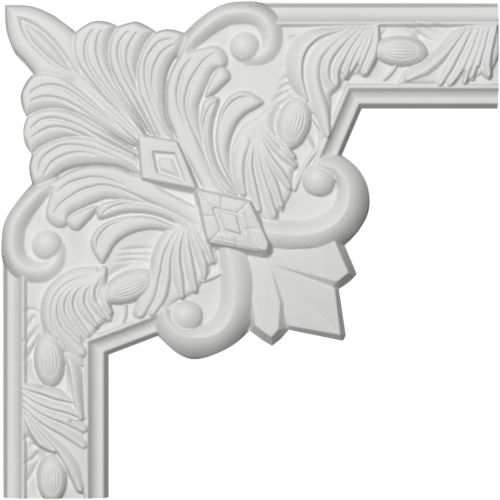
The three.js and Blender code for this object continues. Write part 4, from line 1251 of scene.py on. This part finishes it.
def linear(value: str) -> tuple[float, float, float, float]:
    """Turns an sRGB colour into linear light.

    Args:
        value: the colour as six hex digits.

    Returns:
        Red, green, blue and an alpha of 1.
    """
    channels = (int(value[i:i + 2], 16) / 255 for i in (0, 2, 4))
    red, green, blue = (c / 12.92 if c <= 0.04045 else ((c + 0.055) / 1.055) ** 2.4 for c in channels)
    return red, green, blue, 1.0


def add_node(tree: bpy.types.NodeTree, kind: str, settings: dict | None = None, **links: object) -> bpy.types.Node:
    """Adds a node, sets it up and links it.

    Args:
        tree: the tree it goes into.
        kind: type of the node.
        settings: values of its properties and, by their names, of its inputs.
        links: outputs by the name of the input they go to, with _ for a space.

    Returns:
        The node.
    """
    node = tree.nodes.new(kind)
    for name, value in (settings or {}).items():
        if name in node.inputs:
            node.inputs[name].default_value = value
        else:
            setattr(node, name, value)
    for name, output in links.items():
        tree.links.new(output, node.inputs[name.replace("_", " ")])
    return node


@dataclass(frozen=True)
class WhitePrimer:
    """Matt white primer on the cast foam.

    Attributes:
        colour: its colour.
        shade: the slightly greyer colour it varies to.
        roughness: how matt it is.
        cloud: size of the faint clouds that its tone varies in, in metres.
        cloud_detail: how finely those are broken up.
        grain: size of its faint unevenness, in metres.
        grain_detail: how finely that is broken up.
        grain_height: depth of that, in metres.
        grain_strength: share of that depth that shows.
    """

    colour: str = "dcdcdb"
    shade: str = "d7d7d6"
    roughness: float = 0.55
    cloud: float = 1 / 18
    cloud_detail: float = 3.0
    grain: float = 0.004
    grain_detail: float = 2.0
    grain_height: float = 0.00003
    grain_strength: float = 0.6

    def material(self) -> bpy.types.Material:
        """Makes the finish.

        Returns:
            The material.
        """
        material = bpy.data.materials.new("white_primer")
        material.use_nodes = True
        tree = material.node_tree
        tree.nodes.clear()
        place = add_node(tree, "ShaderNodeTexCoord").outputs["Object"]
        # The sprayed coat is a touch uneven in tone and in level.
        clouds = {"Scale": 1 / self.cloud, "Detail": self.cloud_detail}
        grains = {"Scale": 1 / self.grain, "Detail": self.grain_detail}
        level = {"Distance": self.grain_height, "Strength": self.grain_strength}
        cloud = add_node(tree, "ShaderNodeTexNoise", clouds, Vector=place)
        tone = add_node(tree, "ShaderNodeMix", {"data_type": "RGBA"})
        tone.inputs[6].default_value = linear(self.colour)
        tone.inputs[7].default_value = linear(self.shade)
        tree.links.new(cloud.outputs["Fac"], tone.inputs[0])
        peel = add_node(tree, "ShaderNodeTexNoise", grains, Vector=place)
        bump = add_node(tree, "ShaderNodeBump", level, Height=peel.outputs["Fac"])
        coat = add_node(tree, "ShaderNodeBsdfPrincipled", {"Roughness": self.roughness}, Base_Color=tone.outputs[2],
                        Normal=bump.outputs["Normal"])
        add_node(tree, "ShaderNodeOutputMaterial", Surface=coat.outputs["BSDF"])
        return material


@dataclass(frozen=True)
class PaleFloor:
    """Matt pale paint of the studio's floor, which throws back a little soft light.

    Attributes:
        colour: its colour.
        roughness: how matt it is.
    """

    colour: str = "e2e2e0"
    roughness: float = 0.8

    def material(self) -> bpy.types.Material:
        """Makes the finish.

        Returns:
            The material.
        """
        material = bpy.data.materials.new("pale_floor")
        material.use_nodes = True
        inputs = material.node_tree.nodes["Principled BSDF"].inputs
        inputs["Base Color"].default_value = linear(self.colour)
        inputs["Roughness"].default_value = self.roughness
        return material


@dataclass(frozen=True)
class Studio:
    """The camera, the soft light and the pale floor.

    Attributes:
        aim: the point the camera looks at, in metres.
        distance: distance of the camera, in metres.
        width: width of the view at the object, in metres.
        sensor: width of the camera's sensor, in millimetres.
        key: power of the soft light at the upper left, in watts.
        key_size: length of its sides, in metres.
        key_place: where it hangs, from the aim, in metres.
        fill: strength of the even light from all around.
        floor_drop: how far the floor lies below the aim, in metres.
        floor_size: length of the floor's sides, in metres.
    """

    aim: tuple[float, float, float]
    distance: float = 2.0
    width: float = 0.3
    sensor: float = 36.0
    key: float = 56.0
    key_size: float = 0.7
    key_place: tuple[float, float, float] = (-0.5, -2.3, 0.85)
    fill: float = 0.07
    floor_drop: float = 1.2
    floor_size: float = 3.0

    def camera(self) -> None:
        """Puts the camera square to the front, far away, as the photo was taken."""
        x, y, z = self.aim
        bpy.ops.object.camera_add(location=(x, y - self.distance, z), rotation=(math.pi / 2, 0, 0))
        camera = bpy.context.object
        camera.name = "photo_camera"
        camera.data.sensor_width = self.sensor
        camera.data.lens = self.sensor * self.distance / self.width
        bpy.context.scene.camera = camera

    def lamp(self, name: str, place: tuple[float, float, float], size: float, power: float) -> None:
        """Hangs a square soft light that faces the object.

        Args:
            name: its name.
            place: where it hangs, from the aim, in metres.
            size: length of its sides, in metres.
            power: its power, in watts.
        """
        turn = (-Vector(place)).to_track_quat("-Z", "Y").to_euler()
        bpy.ops.object.light_add(type="AREA", location=Vector(self.aim) + Vector(place), rotation=turn)
        lamp = bpy.context.object
        lamp.name = name
        lamp.data.size = size
        lamp.data.energy = power

    def light(self) -> None:
        """Lights the object softly from the upper left, before a white backdrop."""
        self.lamp("key_light", self.key_place, self.key_size, self.key)
        world = bpy.data.worlds.new("studio")
        bpy.context.scene.world = world
        world.use_nodes = True
        tree = world.node_tree
        tree.nodes.clear()
        # The backdrop is seen as plain white, while the light it gives is softer.
        seen = add_node(tree, "ShaderNodeLightPath")
        around = add_node(tree, "ShaderNodeBackground", {"Color": (1, 1, 1, 1), "Strength": self.fill})
        backdrop = add_node(tree, "ShaderNodeBackground", {"Color": (1, 1, 1, 1), "Strength": 1.0})
        both = add_node(tree, "ShaderNodeMixShader", Fac=seen.outputs["Is Camera Ray"])
        tree.links.new(around.outputs[0], both.inputs[1])
        tree.links.new(backdrop.outputs[0], both.inputs[2])
        add_node(tree, "ShaderNodeOutputWorld", Surface=both.outputs[0])

    def floor(self) -> None:
        """Lays a plain pale floor below the view."""
        x, y, z = self.aim
        bpy.ops.mesh.primitive_plane_add(size=self.floor_size, location=(x, y, z - self.floor_drop))
        floor = bpy.context.object
        floor.name = "floor"
        floor.data.materials.append(PaleFloor().material())
        floor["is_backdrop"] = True

    def build(self) -> None:
        """Sets up the whole studio."""
        bpy.ops.object.select_all(action="DESELECT")
        self.camera()
        self.light()
        self.floor()
        bpy.context.scene.view_settings.view_transform = "Standard"


def main() -> None:
    """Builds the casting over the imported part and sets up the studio."""
    logging.basicConfig(level=logging.INFO, format="%(name)s: %(message)s")
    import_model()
    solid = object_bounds()
    layout = Layout()
    casting = CornerCasting(layout).build(solid)
    casting.data.materials.append(WhitePrimer().material())
    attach(casting, "root")
    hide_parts("panel_moulding_corner")
    Studio(tuple(layout.place(*np.array([VIEW_MIDDLE]).T)[0])).build()


if __name__ == "__main__":
    main()
